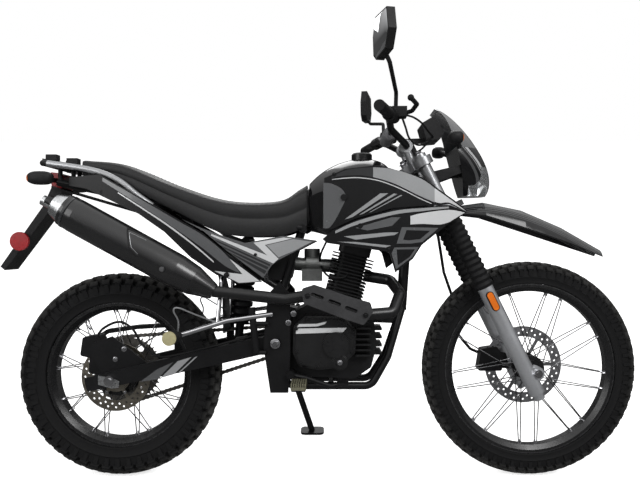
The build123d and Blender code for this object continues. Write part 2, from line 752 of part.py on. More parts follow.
# Swing arm and rear axle
ARM_SLOPE = math.atan2(REAR_Z - PIVOT[1], REAR_X - PIVOT[0])
ARM_ALONG = (math.cos(ARM_SLOPE), math.sin(ARM_SLOPE))
ARM_UP = (ARM_ALONG[1], -ARM_ALONG[0])
ARM_LENGTH = math.hypot(REAR_X - PIVOT[0], REAR_Z - PIVOT[1])
ARM_PROFILE = [(0, 26), (ARM_LENGTH * 0.45, 28), (ARM_LENGTH + ARM_TAIL, 24)]
ARM_PROFILE += [(ARM_LENGTH + ARM_TAIL, -20), (ARM_LENGTH * 0.45, -26), (0, -26)]
REAR_SPACER_RADIUS = 16
REAR_AXLE_HALF = 138


def arm_point(along, up):
    """A side-view point measured from the swing arm's pivot along the arm."""
    return (
        PIVOT[0] + along * ARM_ALONG[0] + up * ARM_UP[0],
        PIVOT[1] + along * ARM_ALONG[1] + up * ARM_UP[1],
    )


with BuildPart() as swingarm:
    outline = [arm_point(along, up) for along, up in ARM_PROFILE]
    add(side_plate(outline, ARM_Y - ARM_WIDTH / 2, ARM_Y + ARM_WIDTH / 2, corner=8))
    mirror(about=Plane.XZ)
    edge = ARM_Y + ARM_WIDTH / 2
    add(side_disc(PIVOT, 22, -edge, edge))
    add(side_plate([(-304, 392), (-266, 400), (-266, 444), (-304, 438)], -ARM_Y, ARM_Y))
    add(rod((PIVOT[0], -PLATE_Y - 12, PIVOT[1]), (PIVOT[0], PLATE_Y + 12, PIVOT[1]), PIVOT_RADIUS))
    with BuildSketch(Plane.XZ.offset(-edge - 10)):
        with Locations((REAR_X, REAR_Z)):
            Circle(REAR_AXLE_RADIUS + PIN_PLAY)
    extrude(amount=2 * edge + 20, mode=Mode.SUBTRACT)
swingarm.part.label = "swingarm"

with BuildPart() as rear_axle:
    add(rod((REAR_X, -REAR_AXLE_HALF, REAR_Z), (REAR_X, REAR_AXLE_HALF, REAR_Z), REAR_AXLE_RADIUS))
    for side in (1, -1):
        inner = REAR_HUB_WIDTH / 2 + 5
        outer = ARM_Y - ARM_WIDTH / 2
        add(side_disc((REAR_X, REAR_Z), REAR_SPACER_RADIUS, *sorted((side * inner, side * outer))))
        nut = ARM_Y + ARM_WIDTH / 2
        add(side_disc((REAR_X, REAR_Z), 16, *sorted((side * nut, side * (nut + 13)))))
rear_axle.part.label = "rear_axle"

# Shock absorber
SHOCK_LOW = (-285, 446)
SHOCK_HIGH = (-252, 770)
SHOCK_UP = math.hypot(SHOCK_HIGH[0] - SHOCK_LOW[0], SHOCK_HIGH[1] - SHOCK_LOW[1])
SPRING_TURNS = 9

with BuildPart() as rear_shock:
    column = Plane(
        (SHOCK_LOW[0], 0, SHOCK_LOW[1]),
        x_dir=(0, 1, 0),
        z_dir=(SHOCK_HIGH[0] - SHOCK_LOW[0], 0, SHOCK_HIGH[1] - SHOCK_LOW[1]),
    )
    turn = (SHOCK_UP - 110) / SPRING_TURNS
    profile = [(0, 8), (14, 8), (14, 50), (36, 50)]
    for index in range(SPRING_TURNS):
        z = 56 + index * turn
        profile += [(26, z), (35, z + 0.25 * turn), (35, z + 0.75 * turn)]
    profile += [(26, SHOCK_UP - 54), (36, SHOCK_UP - 50), (36, SHOCK_UP - 40), (16, SHOCK_UP - 40)]
    profile += [(16, SHOCK_UP - 4), (0, SHOCK_UP - 4)]
    with BuildSketch(Plane(column.origin, x_dir=column.x_dir, z_dir=column.x_dir.cross(column.z_dir))):
        with BuildLine():
            Polyline(*profile, close=True)
        make_face()
    revolve(axis=Axis(column.origin, column.z_dir))
    add(side_disc(SHOCK_HIGH, 11, -RAIL_Y, RAIL_Y))
    add(swingarm.part, mode=Mode.SUBTRACT)
    add(seat_rails.part, mode=Mode.SUBTRACT)
rear_shock.part.label = "rear_shock"

# Chain drive


def pitch_radius(teeth):
    """The pitch circle of a sprocket."""
    return CHAIN_PITCH / 2 / math.sin(math.pi / teeth)


REAR_PITCH = pitch_radius(REAR_TEETH)
FRONT_PITCH = pitch_radius(FRONT_TEETH)
CHAIN_INNER = SPROCKET_THICKNESS / 2 + CHAIN_PLAY


def chain_band(grow, y_low, y_high):
    """The area inside a belt around both sprockets, grown from the pitch line."""
    with BuildPart() as band:
        with BuildSketch(Plane.XZ.offset(-y_high)):
            with Locations((REAR_X, REAR_Z)):
                Circle(REAR_PITCH + grow)
            with Locations(FRONT_SPROCKET):
                Circle(FRONT_PITCH + grow)
            make_hull()
        extrude(amount=y_high - y_low)
    return band.part


with BuildPart() as rear_sprocket:
    with BuildSketch(Plane.XZ.offset(-CHAIN_Y - SPROCKET_THICKNESS / 2)):
        with Locations((REAR_X, REAR_Z)):
            Circle(REAR_PITCH - 5)
            with PolarLocations(REAR_PITCH - 1, REAR_TEETH):
                Trapezoid(7, 10, TOOTH_SLOPE, rotation=-90)
            Circle(REAR_FLANGE_RADIUS - 20, mode=Mode.SUBTRACT)
            with PolarLocations(82, 6):
                Circle(12, mode=Mode.SUBTRACT)
    extrude(amount=SPROCKET_THICKNESS)
    add(side_disc((REAR_X, REAR_Z), REAR_FLANGE_RADIUS, REAR_FLANGE_SPREAD / 2 + FLANGE_THICKNESS / 2, CHAIN_Y))
    add(side_disc((REAR_X, REAR_Z), REAR_HUB_RADIUS + SEAT_GAP, 0, 90), mode=Mode.SUBTRACT)
rear_sprocket.part.label = "rear_sprocket"

with BuildPart() as drive_chain:
    for y in (CHAIN_Y + CHAIN_INNER, CHAIN_Y - CHAIN_INNER - CHAIN_PLATE):
        add(chain_band(CHAIN_HALF_HEIGHT, y, y + CHAIN_PLATE))
        add(chain_band(-CHAIN_HALF_HEIGHT, y, y + CHAIN_PLATE), mode=Mode.SUBTRACT)
    add(side_disc(FRONT_SPROCKET, FRONT_PITCH - 5, CHAIN_Y - 3, CHAIN_Y + 3))
    add(side_disc(FRONT_SPROCKET, 14, CASE_Y[1] + SEAT_GAP, CHAIN_Y))
drive_chain.part.label = "drive_chain"

# Engine
CASE_OUTLINE = [
    (-118, 372), (-92, 338), (96, 330), (148, 366), (166, 436), (156, 520), (112, 566), (-52, 566), (-118, 530),
]
COVER_OUTLINE = [(-98, 420), (-80, 378), (-20, 366), (52, 374), (96, 420), (100, 488), (62, 532), (-60, 534), (-96, 500)]
COVER_Y = (-146, -88)
STATOR_CENTRE = (66, 446)
STATOR_RADIUS = 74
STATOR_Y = (56, 112)
GUARD_OUTLINE = [(-122, 412), (-98, 388), (20, 388), (20, 500), (-90, 506), (-122, 486)]
GUARD_Y = (82, 94)

with BuildPart() as engine_case:
    add(side_plate(CASE_OUTLINE, *CASE_Y, corner=14))
    for x in (-60, 60):
        add(side_plate([(x - 16, 312), (x + 16, 312), (x + 16, 345), (x - 16, 345)], -CRADLE_Y - 10, CRADLE_Y - 10))
    add(side_plate([(120, 500), (236, 496), (244, 524), (120, 540)], -9, 9))
    add(side_plate([(-150, 520), (-90, 500), (-90, 548), (-146, 560)], -40, 40))
    for index in range(4):
        z = 402 + index * 26
        add(side_plate([(150, z), (184, z), (184, z + 8), (150, z + 8)], -66, 40))
    add(frame_cradle.part, mode=Mode.SUBTRACT)
    add(frame_spine.part, mode=Mode.SUBTRACT)
    add(side_disc(FRONT_SPROCKET, FRONT_PITCH + 14, 57, 90), mode=Mode.SUBTRACT)
engine_case.part.label = "engine_case"

with BuildPart() as engine_covers:
    add(side_plate(COVER_OUTLINE, COVER_Y[0] + SEAT_GAP, COVER_Y[1] - SEAT_GAP, corner=16))
    outer = engine_covers.faces().sort_by(Axis.Y)[0]
    chamfer(outer.edges(), length=9)
    add(side_disc((36, 446), 40, COVER_Y[0] - 8, COVER_Y[0] + 6))
    add(side_disc(STATOR_CENTRE, STATOR_RADIUS, STATOR_Y[0] + SEAT_GAP, STATOR_Y[1]))
    rim = engine_covers.faces().sort_by(Axis.Y)[-1]
    chamfer(rim.edges(), length=10)
    add(side_plate(GUARD_OUTLINE, *GUARD_Y, corner=10))
engine_covers.part.label = "engine_covers"

CYLINDER_UP = (math.sin(math.radians(CYLINDER_TILT)), 0, math.cos(math.radians(CYLINDER_TILT)))
CYLINDER = Plane((CYLINDER_BASE[0], 0, CYLINDER_BASE[1]), x_dir=(0, 1, 0), z_dir=CYLINDER_UP)
BARREL_TOP = 22 + BARREL_FINS * FIN_PITCH
HEAD_TOP = BARREL_TOP + HEAD_FINS * FIN_PITCH
VALVE_COVER_TOP = HEAD_TOP + 44

with BuildPart() as engine_cylinder:
    with BuildSketch(CYLINDER.offset(16)):
        RectangleRounded(92, 92, 20)
    extrude(amount=HEAD_TOP - 16)
    for index in range(BARREL_FINS + HEAD_FINS):
        reach = 124 if index < BARREL_FINS else 136
        with BuildSketch(CYLINDER.offset(24 + index * FIN_PITCH)):
            RectangleRounded(reach, reach, 16)
        extrude(amount=FIN_THICKNESS)
    with BuildSketch(CYLINDER.offset(HEAD_TOP)):
        RectangleRounded(118, 104, 18)
    extrude(amount=VALVE_COVER_TOP - HEAD_TOP)
    add(engine_case.part, mode=Mode.SUBTRACT)
engine_cylinder.part.label = "engine_cylinder"

AIRBOX_OUTLINE = [(-238, 640), (-236, 764), (-104, 764), (-96, 700), (-110, 640)]

with BuildPart() as airbox:
    add(side_plate(AIRBOX_OUTLINE, -58, 58, corner=10))
    add(frame_cradle.part, mode=Mode.SUBTRACT)
    add(frame_spine.part, mode=Mode.SUBTRACT)
    add(rear_shock.part, mode=Mode.SUBTRACT)
airbox.part.label = "airbox"

with BuildPart() as carburettor:
    add(rod((-98, 0, 692), (40, 0, 684), 22))
    add(rod((-42, 0, 640), (-42, 0, 742), 26))
    with Locations((-42, 0, 656)):
        Box(66, 62, 40)
    add(rod((-60, 0, 690), (-20, 0, 690), 34))
    add(engine_cylinder.part, mode=Mode.SUBTRACT)
    add(airbox.part, mode=Mode.SUBTRACT)
carburettor.part.label = "carburettor"

# Exhaust
PIPE_RADIUS = 18
PIPE_ROUTE = [
    (130, -20, 652), (212, -40, 640), (238, -104, 602), (212, -150, 546), (120, -164, 540), (-40, -164, 600), (-120, -160, 588),
    (-340, -160, 612),
]
MUFFLER_START = Vector(-338, -160, 611)
MUFFLER_END = Vector(-813, -160, 872)
MUFFLER_SECTIONS = [(0, 24), (70, 46), (130, 53), (480, 53), (520, 50)]
TIP_SECTIONS = [(520.3, 49), (556, 34)]

MUFFLER = Plane(MUFFLER_START, x_dir=(0, 1, 0), z_dir=MUFFLER_END - MUFFLER_START)

with BuildPart() as muffler:
    for along, radius in MUFFLER_SECTIONS:
        with BuildSketch(MUFFLER.offset(along)):
            Ellipse(radius * 0.94, radius)
    loft(ruled=True)
muffler.part.label = "muffler"

with BuildPart() as muffler_tip:
    for along, radius in TIP_SECTIONS:
        with BuildSketch(MUFFLER.offset(along)):
            Ellipse(radius * 0.94, radius)
    loft()
    with BuildSketch(MUFFLER.offset(550)):
        with Locations((0, 6)):
            Circle(16)
    extrude(amount=44)
    with BuildSketch(MUFFLER.offset(540)):
        with Locations((0, 6)):
            Circle(13)
    extrude(amount=60, mode=Mode.SUBTRACT)
muffler_tip.part.label = "muffler_tip"

with BuildPart() as exhaust_pipe:
    add(tube(PIPE_ROUTE, PIPE_RADIUS, bend=26))
    add(engine_cylinder.part, mode=Mode.SUBTRACT)
    add(muffler.part, mode=Mode.SUBTRACT)
    add(engine_covers.part, mode=Mode.SUBTRACT)
exhaust_pipe.part.label = "exhaust_pipe"

SHIELD_OUTLINE = [(148, 552), (120, 512), (64, 530), (-62, 578), (-68, 622), (-30, 634), (90, 594), (140, 580)]
SHIELD_SLOTS = [(-20, 600), (32, 580), (82, 560)]
SHIELD_Y = (-194, -183)

with BuildPart() as heat_shield:
    add(side_plate(SHIELD_OUTLINE, *SHIELD_Y, corner=8))
    for x, z in SHIELD_SLOTS:
        with BuildSketch(Plane.XZ.offset(-SHIELD_Y[1])):
            with Locations(Location((x, z), -20)):
                SlotOverall(40, 11)
        extrude(amount=SHIELD_Y[1] - SHIELD_Y[0], mode=Mode.SUBTRACT)
    for x, z in ((104, 546), (-34, 598)):
        add(side_disc((x, z), 8, SHIELD_Y[1] - 2, -172))
    add(exhaust_pipe.part, mode=Mode.SUBTRACT)
heat_shield.part.label = "heat_shield"

# Tank sections: place, top, waist, bottom and half-width
TANK_SECTIONS = [
    (-50, 955, 905, 800, 76),
    (20, 1010, 930, 784, 116),
    (105, 1036, 940, 786, 132),
    (170, 1032, 945, 815, 112),
    (214, 1002, 950, 850, 58),
]
TUNNEL = [(-100, 834), (40, 905), (206, 956), (340, 960), (340, 700), (-100, 700)]
TANK_PADS = [
    [(150, 906), (196, 920), (196, 962), (150, 950)],
    [(-40, 832), (0, 856), (0, 905), (-40, 880)],
]
CAP_CENTRE = (122, 0, 1030)

with BuildPart() as fuel_tank:
    for x, top, waist, bottom, half in TANK_SECTIONS:
        with BuildSketch(Plane.YZ.offset(x)):
            with BuildLine():
                crown = ThreePointArc((-half, waist), (0, top), (half, waist))
                Polyline(crown @ 1, (0.8 * half, bottom), (-0.8 * half, bottom), crown @ 0)
            make_face()
    loft()
    add(side_plate(TUNNEL, -28, 28), mode=Mode.SUBTRACT)
    for pad in TANK_PADS:
        add(side_plate(pad, -29, 29))
    add(frame_spine.part, mode=Mode.SUBTRACT)
    with Locations(CAP_CENTRE):
        Cylinder(36, 60, mode=Mode.SUBTRACT)
    with Locations((CAP_CENTRE[0], 0, 1000)):
        Cylinder(36, 44)
fuel_tank.part.label = "fuel_tank"

with BuildPart() as fuel_cap:
    with Locations((CAP_CENTRE[0], 0, 1022 + SEAT_GAP)):
        Cylinder(34, 34, align=(Align.CENTER, Align.CENTER, Align.MIN))
    chamfer(fuel_cap.faces().sort_by(Axis.Z)[-1].edges(), length=5)
fuel_cap.part.label = "fuel_cap"

# Seat sections: place, top, edge, skirt and half-width
SEAT_SECTIONS = [
    (-771, 1027, 1012, 978, 84),
    (-634, 1011, 990, 944, 104),
    (-471, 946, 924, 862, 122),
    (-308, 897, 872, 788, 128),
    (-150, 896, 868, 782, 108),
    (-56, 950, 905, 812, 82),
]
SEAT_CHANNEL = [(-800, 954), (-300, 850), (-120, 826), (-92, 850), (-40, 868), (-40, 700), (-800, 700)]

with BuildPart() as seat:
    for x, top, edge_z, skirt, half in SEAT_SECTIONS:
        with BuildSketch(Plane.YZ.offset(x)):
            with BuildLine():
                crown = ThreePointArc((-half, edge_z), (0, top), (half, edge_z))
                Polyline(crown @ 1, (0.98 * half, skirt), (-0.98 * half, skirt), crown @ 0)
            make_face()
    loft()
    add(side_plate(SEAT_CHANNEL, -92, 92), mode=Mode.SUBTRACT)
seat.part.label = "seat"

# Body panels in side view, drawn for the left side and mirrored
WING = [(-6, 800), (0, 961), (63, 988), (167, 999), (303, 960), (352, 924), (402, 889), (440, 857), (384, 880)]
WING += [(210, 867), (96, 835), (27, 804)]
SHROUD = [(-6, 772), (27, 799), (96, 830), (210, 862), (384, 875), (438, 854), (370, 813), (342, 790), (297, 754)]
SHROUD += [(270, 712), (216, 670), (201, 725), (192, 734), (9, 760)]
FRONT_COVER = [(-439, 833), (-372, 803), (-302, 778), (-245, 760), (-128, 782), (-25, 768), (-90, 734), (-144, 706)]
FRONT_COVER += [(-162, 691), (-188, 652), (-300, 736), (-372, 796)]
TAIL_PANEL = [(-192, 640), (-264, 634), (-300, 652), (-331, 661), (-412, 716), (-493, 794), (-574, 850), (-744, 930)]
TAIL_PANEL += [(-800, 940), (-800, 966), (-700, 974), (-510, 868), (-444, 830), (-374, 790), (-304, 731)]
WING_PLAN = [(-30, 132), (200, 160), (450, 153)]
SHROUD_PLAN = [(-30, 148), (200, 176), (450, 158)]
COVER_PLAN = [(-450, 141), (-240, 147), (0, 142)]
TAIL_PLAN = [(-810, 112), (-500, 146), (-180, 146)]
PANEL_SKIN = 7

with BuildPart() as tank_wings:
    add(curved_panel(WING, WING_PLAN, PANEL_SKIN))
    for x, z in ((60, 900), (170, 910)):
        add(rod((x, 90, z), (x, 156, z), 10))
    mirror(about=Plane.XZ)
    add(fuel_tank.part, mode=Mode.SUBTRACT)
tank_wings.part.label = "tank_wings"

with BuildPart() as tank_shrouds:
    add(curved_panel(SHROUD, SHROUD_PLAN, PANEL_SKIN))
    for x, z in ((110, 812), (190, 838)):
        add(rod((x, 60, z), (x, 172, z), 8))
    mirror(about=Plane.XZ)
    add(fuel_tank.part, mode=Mode.SUBTRACT)
tank_shrouds.part.label = "tank_shrouds"

with BuildPart() as side_panels:
    add(curved_panel(FRONT_COVER, COVER_PLAN, PANEL_SKIN))
    add(rod((-185, RAIL_Y, 642), (-183, 143, 672), 8))
    add(rod((-95, 52, 752), (-100, 143, 752), 8))
    mirror(about=Plane.XZ)
    add(seat_rails.part, mode=Mode.SUBTRACT)
    add(frame_spine.part, mode=Mode.SUBTRACT)
    add(frame_cradle.part, mode=Mode.SUBTRACT)
    add(airbox.part, mode=Mode.SUBTRACT)
    add(seat.part, mode=Mode.SUBTRACT)
side_panels.part.label = "side_panels"

with BuildPart() as tail_panels:
    add(curved_panel(TAIL_PANEL, TAIL_PLAN, PANEL_SKIN))
    for x, z in ((-260, 690), (-500, 842), (-690, 918)):
        add(rod((x, 76, z), (x, 145 + min(0, (x + 500) / 12), z), 8))
    mirror(about=Plane.XZ)
    add(seat_rails.part, mode=Mode.SUBTRACT)
    add(side_panels.part, mode=Mode.SUBTRACT)
    add(seat.part, mode=Mode.SUBTRACT)
tail_panels.part.label = "tail_panels"

FENDER_BACK = [(-327, 470), (-330, 600), (-350, 684), (-424, 774), (-600, 856), (-880, 938)]
FENDER_BACK_SKIN = [(-880, 944), (-598, 862), (-420, 780), (-345, 687), (-324, 601), (-321, 470)]
BACK_HALF = 58
BRACKET = [(-846, 934), (-882, 946), (-912, 880), (-1050, 684), (-1036, 672), (-896, 858)]

with BuildPart() as rear_fender:
    add(side_plate(FENDER_BACK + FENDER_BACK_SKIN, -BACK_HALF, BACK_HALF))
    add(side_plate(BRACKET, -46, 46))
    add(side_plate([(-470, 776), (-440, 784), (-440, 876), (-470, 876)], -20, 20))
    add(seat_rails.part, mode=Mode.SUBTRACT)
rear_fender.part.label = "rear_fender"

RACK_ROUTE = [
    (-516, 84, 862), (-540, 112, 876), (-589, 115, 912), (-645, 115, 955), (-723, 115, 986), (-872, 112, 1010),
    (-890, 96, 1013),
]
RACK_PLATE = [(-892, 1018), (-778, 998), (-778, 1008), (-892, 1028)]
RACK_TOP = Plane((-835, 0, 1018), x_dir=(114, 0, -20), z_dir=(20, 0, 114))
RACK_BOLT_CIRCLE = 84
RACK_BOLT_RADIUS = 4.5

with BuildPart() as rear_rack:
    add(tube(RACK_ROUTE, 10, bend=16))
    mirror(about=Plane.XZ)
    add(rod((-886, -100, 1013), (-886, 100, 1013), 10))
    add(rod((-790, -115, 997), (-790, 115, 997), 8))
    add(side_plate(RACK_PLATE, -96, 96))
    for x, z in ((-866, 1032), (-800, 1020)):
        for y in (-78, 78):
            with Locations((x, y, z)):
                Box(34, 30, 18)
    for x, z in ((-800, 943), (-842, 951)):
        for y in (RAIL_Y, -RAIL_Y):
            add(rod((x, y, z), (x, y, 1014), 7))
    with BuildSketch(RACK_TOP.offset(-20)):
        with PolarLocations(RACK_BOLT_CIRCLE / 2, 4, start_angle=45):
            Circle(RACK_BOLT_RADIUS)
    extrude(amount=40, mode=Mode.SUBTRACT)
    add(seat_rails.part, mode=Mode.SUBTRACT)
    add(seat.part, mode=Mode.SUBTRACT)
    add(tail_panels.part, mode=Mode.SUBTRACT)
    add(rear_fender.part, mode=Mode.SUBTRACT)
rear_rack.part.label = "rear_rack"

with BuildPart() as tail_lamp:
    add(side_plate([(-884, 944), (-852, 934), (-852, 986), (-890, 990)], -46, 46, corner=6))
    add(rear_rack.part, mode=Mode.SUBTRACT)
    add(rear_fender.part, mode=Mode.SUBTRACT)
    add(side_disc((-982, 766), 30, -62, -52))
    add(side_disc((-972, 772), 8, -54, -46 - SEAT_GAP))
tail_lamp.part.label = "tail_lamp"

with BuildPart() as rear_signals:
    add(rod((-866, 46.3, 962), (-873, 140, 960), 8))
    with Locations((-873, 150, 960)):
        Box(78, 50, 42)
    fillet(rear_signals.edges().filter_by(Axis.Y), radius=12)
    mirror(about=Plane.XZ)
    add(rear_rack.part, mode=Mode.SUBTRACT)
    add(tail_lamp.part, mode=Mode.SUBTRACT)
rear_signals.part.label = "rear_signals"

# Foot controls
PEG = (-77, 322)

with BuildPart() as foot_controls:
    for side in (1, -1):
        add(rod((PEG[0], side * 60, CRADLE_Z + 12), (PEG[0], side * 152, PEG[1]), 10))
        add(side_plate([(-98, 314), (-56, 314), (-56, 332), (-98, 332)], *sorted((side * 150, side * 206))))
    add(tube([(-104, -136, 352), (-60, -150, 346), (20, -162, 322), (58, -168, 330)], 7, bend=20))
    with Locations((56, -172, 332)):
        Box(34, 40, 9)
    add(rod((-104, -150, 352), (-104, -112, 352), 13))
    add(tube([(-30, 118, 372), (10, 132, 360), (72, 146, 352)], 6, bend=20))
    add(rod((76, 128, 352), (76, 176, 352), 9))
    add(rod((-30, 56.3, 372), (-30, 124, 372), 9))
    add(frame_cradle.part, mode=Mode.SUBTRACT)
    add(engine_covers.part, mode=Mode.SUBTRACT)
    add(engine_case.part, mode=Mode.SUBTRACT)
foot_controls.part.label = "foot_controls"

with BuildPart() as passenger_pegs:
    add(tube([(-160, 136, 540), (-300, 142, 520), (-456, 150, 472)], 8, bend=60))
    add(tube([(-306, 88, 716), (-322, 118, 640), (-330, 142, 512)], 7, bend=30))
    add(rod((-456, 140, 472), (-456, 236, 478), 13))
    mirror(about=Plane.XZ)
    add(seat_rails.part, mode=Mode.SUBTRACT)
    add(frame_cradle.part, mode=Mode.SUBTRACT)
    add(exhaust_pipe.part, mode=Mode.SUBTRACT)
    add(muffler.part, mode=Mode.SUBTRACT)
    add(tail_panels.part, mode=Mode.SUBTRACT)
passenger_pegs.part.label = "passenger_pegs"

GUARD_TOP = [(-290, 488), (-480, 476), (-640, 467), (-740, 452), (-800, 418), (-806, 428), (-744, 466), (-640, 480)]
GUARD_TOP += [(-480, 489), (-290, 501)]
GUARD_TABS = (-340, -520)

with BuildPart() as chain_guard:
    add(side_plate(GUARD_TOP, 62, 96))
    for x in GUARD_TABS:
        low = PIVOT[1] + (x - PIVOT[0]) * math.tan(ARM_SLOPE)
        add(side_plate([(x, low), (x + 26, low), (x + 26, 486), (x, 486)], 90, 96))
    add(swingarm.part, mode=Mode.SUBTRACT)
chain_guard.part.label = "chain_guard"

REAR_CALIPER = [(-772, 404), (-716, 392), (-692, 430), (-712, 470), (-764, 462)]
REAR_CALIPER_ARM = [(-744, 350), (-700, 338), (-690, 420), (-740, 430)]

with BuildPart() as rear_brake:
    add(side_plate(REAR_CALIPER, -98, -46, corner=8))
    add(side_disc((REAR_X, REAR_Z), REAR_DISC_RADIUS + 6, REAR_DISC_Y - 8, REAR_DISC_Y + 8), mode=Mode.SUBTRACT)
    add(side_plate(REAR_CALIPER_ARM, -98, -88))
    add(rod((-210, -134, 420), (-226, -134, 560), 11))
    add(rod((-206, -134, 420), (-180, -134, 420), 7))
    add(rod((-220, -134, 510), (-174, -134, 510), 7))
    add(swingarm.part, mode=Mode.SUBTRACT)
    add(frame_cradle.part, mode=Mode.SUBTRACT)
    add(exhaust_pipe.part, mode=Mode.SUBTRACT)
    add(passenger_pegs.part, mode=Mode.SUBTRACT)
rear_brake.part.label = "rear_brake"

# Side stand
STAND_LENGTH = (STAND_FOOT - STAND_EYE).length
TYRE_SINK = 0.9

with BuildPart() as side_stand:
    add(rod(STAND_EYE - STAND_AXIS * 9, STAND_EYE + STAND_AXIS * 9, 17))
    add(rod(STAND_EYE + STAND_DOWN * 10, STAND_FOOT - STAND_DOWN * 4, STAND_TUBE))
    foot = Plane(STAND_FOOT - GROUND_UP * TYRE_SINK, x_dir=(1, 0, 0), z_dir=GROUND_UP)
    with BuildSketch(foot):
        RectangleRounded(86, 52, 16)
    extrude(amount=8)
    add(rod(STAND_EYE - STAND_AXIS * 40, STAND_EYE + STAND_AXIS * 40, STAND_PIN + PIN_PLAY), mode=Mode.SUBTRACT)
side_stand.part.label = "side_stand"

# The parked pose
NODES = [
    frame_spine, frame_cradle, seat_rails, swingarm, rear_axle, rear_shock, drive_chain, chain_guard,
    engine_case, engine_covers, engine_cylinder, airbox, carburettor, exhaust_pipe, heat_shield, muffler,
    muffler_tip, fuel_tank, fuel_cap, tank_wings, tank_shrouds, side_panels, tail_panels, seat, rear_fender,
    rear_rack, tail_lamp, rear_signals, foot_controls, passenger_pegs, rear_brake, side_stand, fork_uppers,
    fork_boots, fork_sliders, front_axle, front_fender, headlight_shell, headlight_lens, windscreen,
    instrument_panel, front_signals, handlebar, bar_pad, hand_controls, mirrors, front_caliper, brake_hose,
    front_tyre, front_rim, front_disc, rear_tyre, rear_rim, rear_disc, rear_sprocket,
]

lean = Location((0, 0, 0), (-LEAN, 0, 0))
boxes = [node.part.moved(lean).bounding_box() for node in NODES]
middle_x = (min(box.min.X for box in boxes) + max(box.max.X for box in boxes)) / 2
middle_y = (min(box.min.Y for box in boxes) + max(box.max.Y for box in boxes)) / 2
bottom = min(box.min.Z for box in boxes)
PARKED = Location((-middle_x, -middle_y, -bottom)) * lean

os.makedirs("parts", exist_ok=True)
for node in NODES:
    parked = node.part.moved(PARKED)
    parked.label = node.part.label
    export_step(parked, f"parts/{parked.label}.step")
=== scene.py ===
"""Dresses the packed dirt bike: materials, tyres, seat, graphics and small parts."""

import json
import math

import bmesh
import bpy
from mathutils import Matrix, Vector


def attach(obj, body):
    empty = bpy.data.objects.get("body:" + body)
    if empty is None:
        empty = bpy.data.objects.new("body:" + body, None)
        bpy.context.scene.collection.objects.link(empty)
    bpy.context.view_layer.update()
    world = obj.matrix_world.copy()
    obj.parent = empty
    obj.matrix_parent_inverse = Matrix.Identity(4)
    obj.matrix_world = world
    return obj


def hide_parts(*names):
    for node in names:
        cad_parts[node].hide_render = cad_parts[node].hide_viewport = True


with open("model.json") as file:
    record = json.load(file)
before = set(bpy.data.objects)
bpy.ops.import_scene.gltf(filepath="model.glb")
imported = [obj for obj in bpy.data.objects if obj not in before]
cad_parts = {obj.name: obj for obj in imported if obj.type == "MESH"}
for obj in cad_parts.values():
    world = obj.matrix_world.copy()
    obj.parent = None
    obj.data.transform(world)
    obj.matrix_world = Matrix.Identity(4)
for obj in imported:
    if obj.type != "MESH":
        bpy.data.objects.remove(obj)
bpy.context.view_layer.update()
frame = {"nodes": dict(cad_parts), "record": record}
scene = bpy.context.scene
scene.view_settings.view_transform = "Standard"

# The bike's own upright frame, in millimetres, found from the rear wheel's joint
JOINTS = {joint["name"]: joint for joint in frame["record"]["behaviour"]["joints"]}
REAR_AXLE = Vector((-670, 0, 331))
FRONT_AXLE = Vector((670, 0, 350))
SIDEWAYS = Vector(JOINTS["rear_spin"]["axis"]).normalized()
FORWARD = Vector((1, 0, 0))
UPWARD = FORWARD.cross(SIDEWAYS)
TURN = Matrix((FORWARD, SIDEWAYS, UPWARD)).transposed()
ORIGIN = Vector(JOINTS["rear_spin"]["pos_m"]) - TURN @ (REAR_AXLE / 1000)
PARK = Matrix.Translation(ORIGIN) @ TURN.to_4x4() @ Matrix.Scale(0.001, 4)


def at(x, y, z):
    """A point of the upright bike, in millimetres, where it stands in the scene."""
    return PARK @ Vector((x, y, z))


# Materials
GRAIN_DEPTH = 0.0006
COAT_ROUGHNESS = 0.06
LENS_IOR = 1.49
RING_DENSITY = 2400
USUAL_VARIETY = 0.12
PANEL_GLOSS = 0.45
CURVE_SPAN = 2000
STRIPE_START, STRIPE_END = -60, 140


def new_material(name):
    mat = bpy.data.materials.new(name)
    mat.use_nodes = True
    return mat, mat.node_tree, mat.node_tree.nodes["Principled BSDF"]


def feed(tree, node, values):
    """Links each input to another node's output, or sets its own value."""
    for key, value in values.items():
        if isinstance(value, bpy.types.NodeSocket):
            tree.links.new(value, node.inputs[key])
        else:
            node.inputs[key].default_value = value


def add(tree, kind, values, **settings):
    """A new node with its inputs and settings."""
    node = tree.nodes.new("ShaderNode" + kind)
    for key, value in settings.items():
        setattr(node, key, value)
    feed(tree, node, values)
    return node


def object_place(tree):
    return add(tree, "TexCoord", {}).outputs["Object"]


def calc(tree, operation, *values):
    return add(tree, "Math", dict(enumerate(values)), operation=operation).outputs["Value"]


def vector_calc(tree, operation, *values, result="Vector"):
    return add(tree, "VectorMath", dict(enumerate(values)), operation=operation).outputs[result]


def noise(tree, coord, scale, detail=3.0):
    values = {"Scale": scale, "Detail": detail, "Roughness": 0.55, "Vector": coord}
    return add(tree, "TexNoise", values).outputs["Fac"]


def ramp(tree, value, low, high, dark, light):
    values = {"From Min": low, "From Max": high, "To Min": dark, "To Max": light, "Value": value}
    return add(tree, "MapRange", values).outputs["Result"]


def mix(tree, value, low, high, kind="FLOAT"):
    return add(tree, "Mix", {"Factor": value, "A": low, "B": high}, data_type=kind).outputs["Result"]


def tint(tree, value, dark, light):
    return mix(tree, value, (*dark, 1), (*light, 1), "RGBA")


def grainy(tree, coord, scale, strength):
    """The normal of a finely grained surface."""
    values = {"Strength": strength, "Distance": GRAIN_DEPTH, "Height": noise(tree, coord, scale, detail=2.0)}
    return add(tree, "Bump", values).outputs["Normal"]


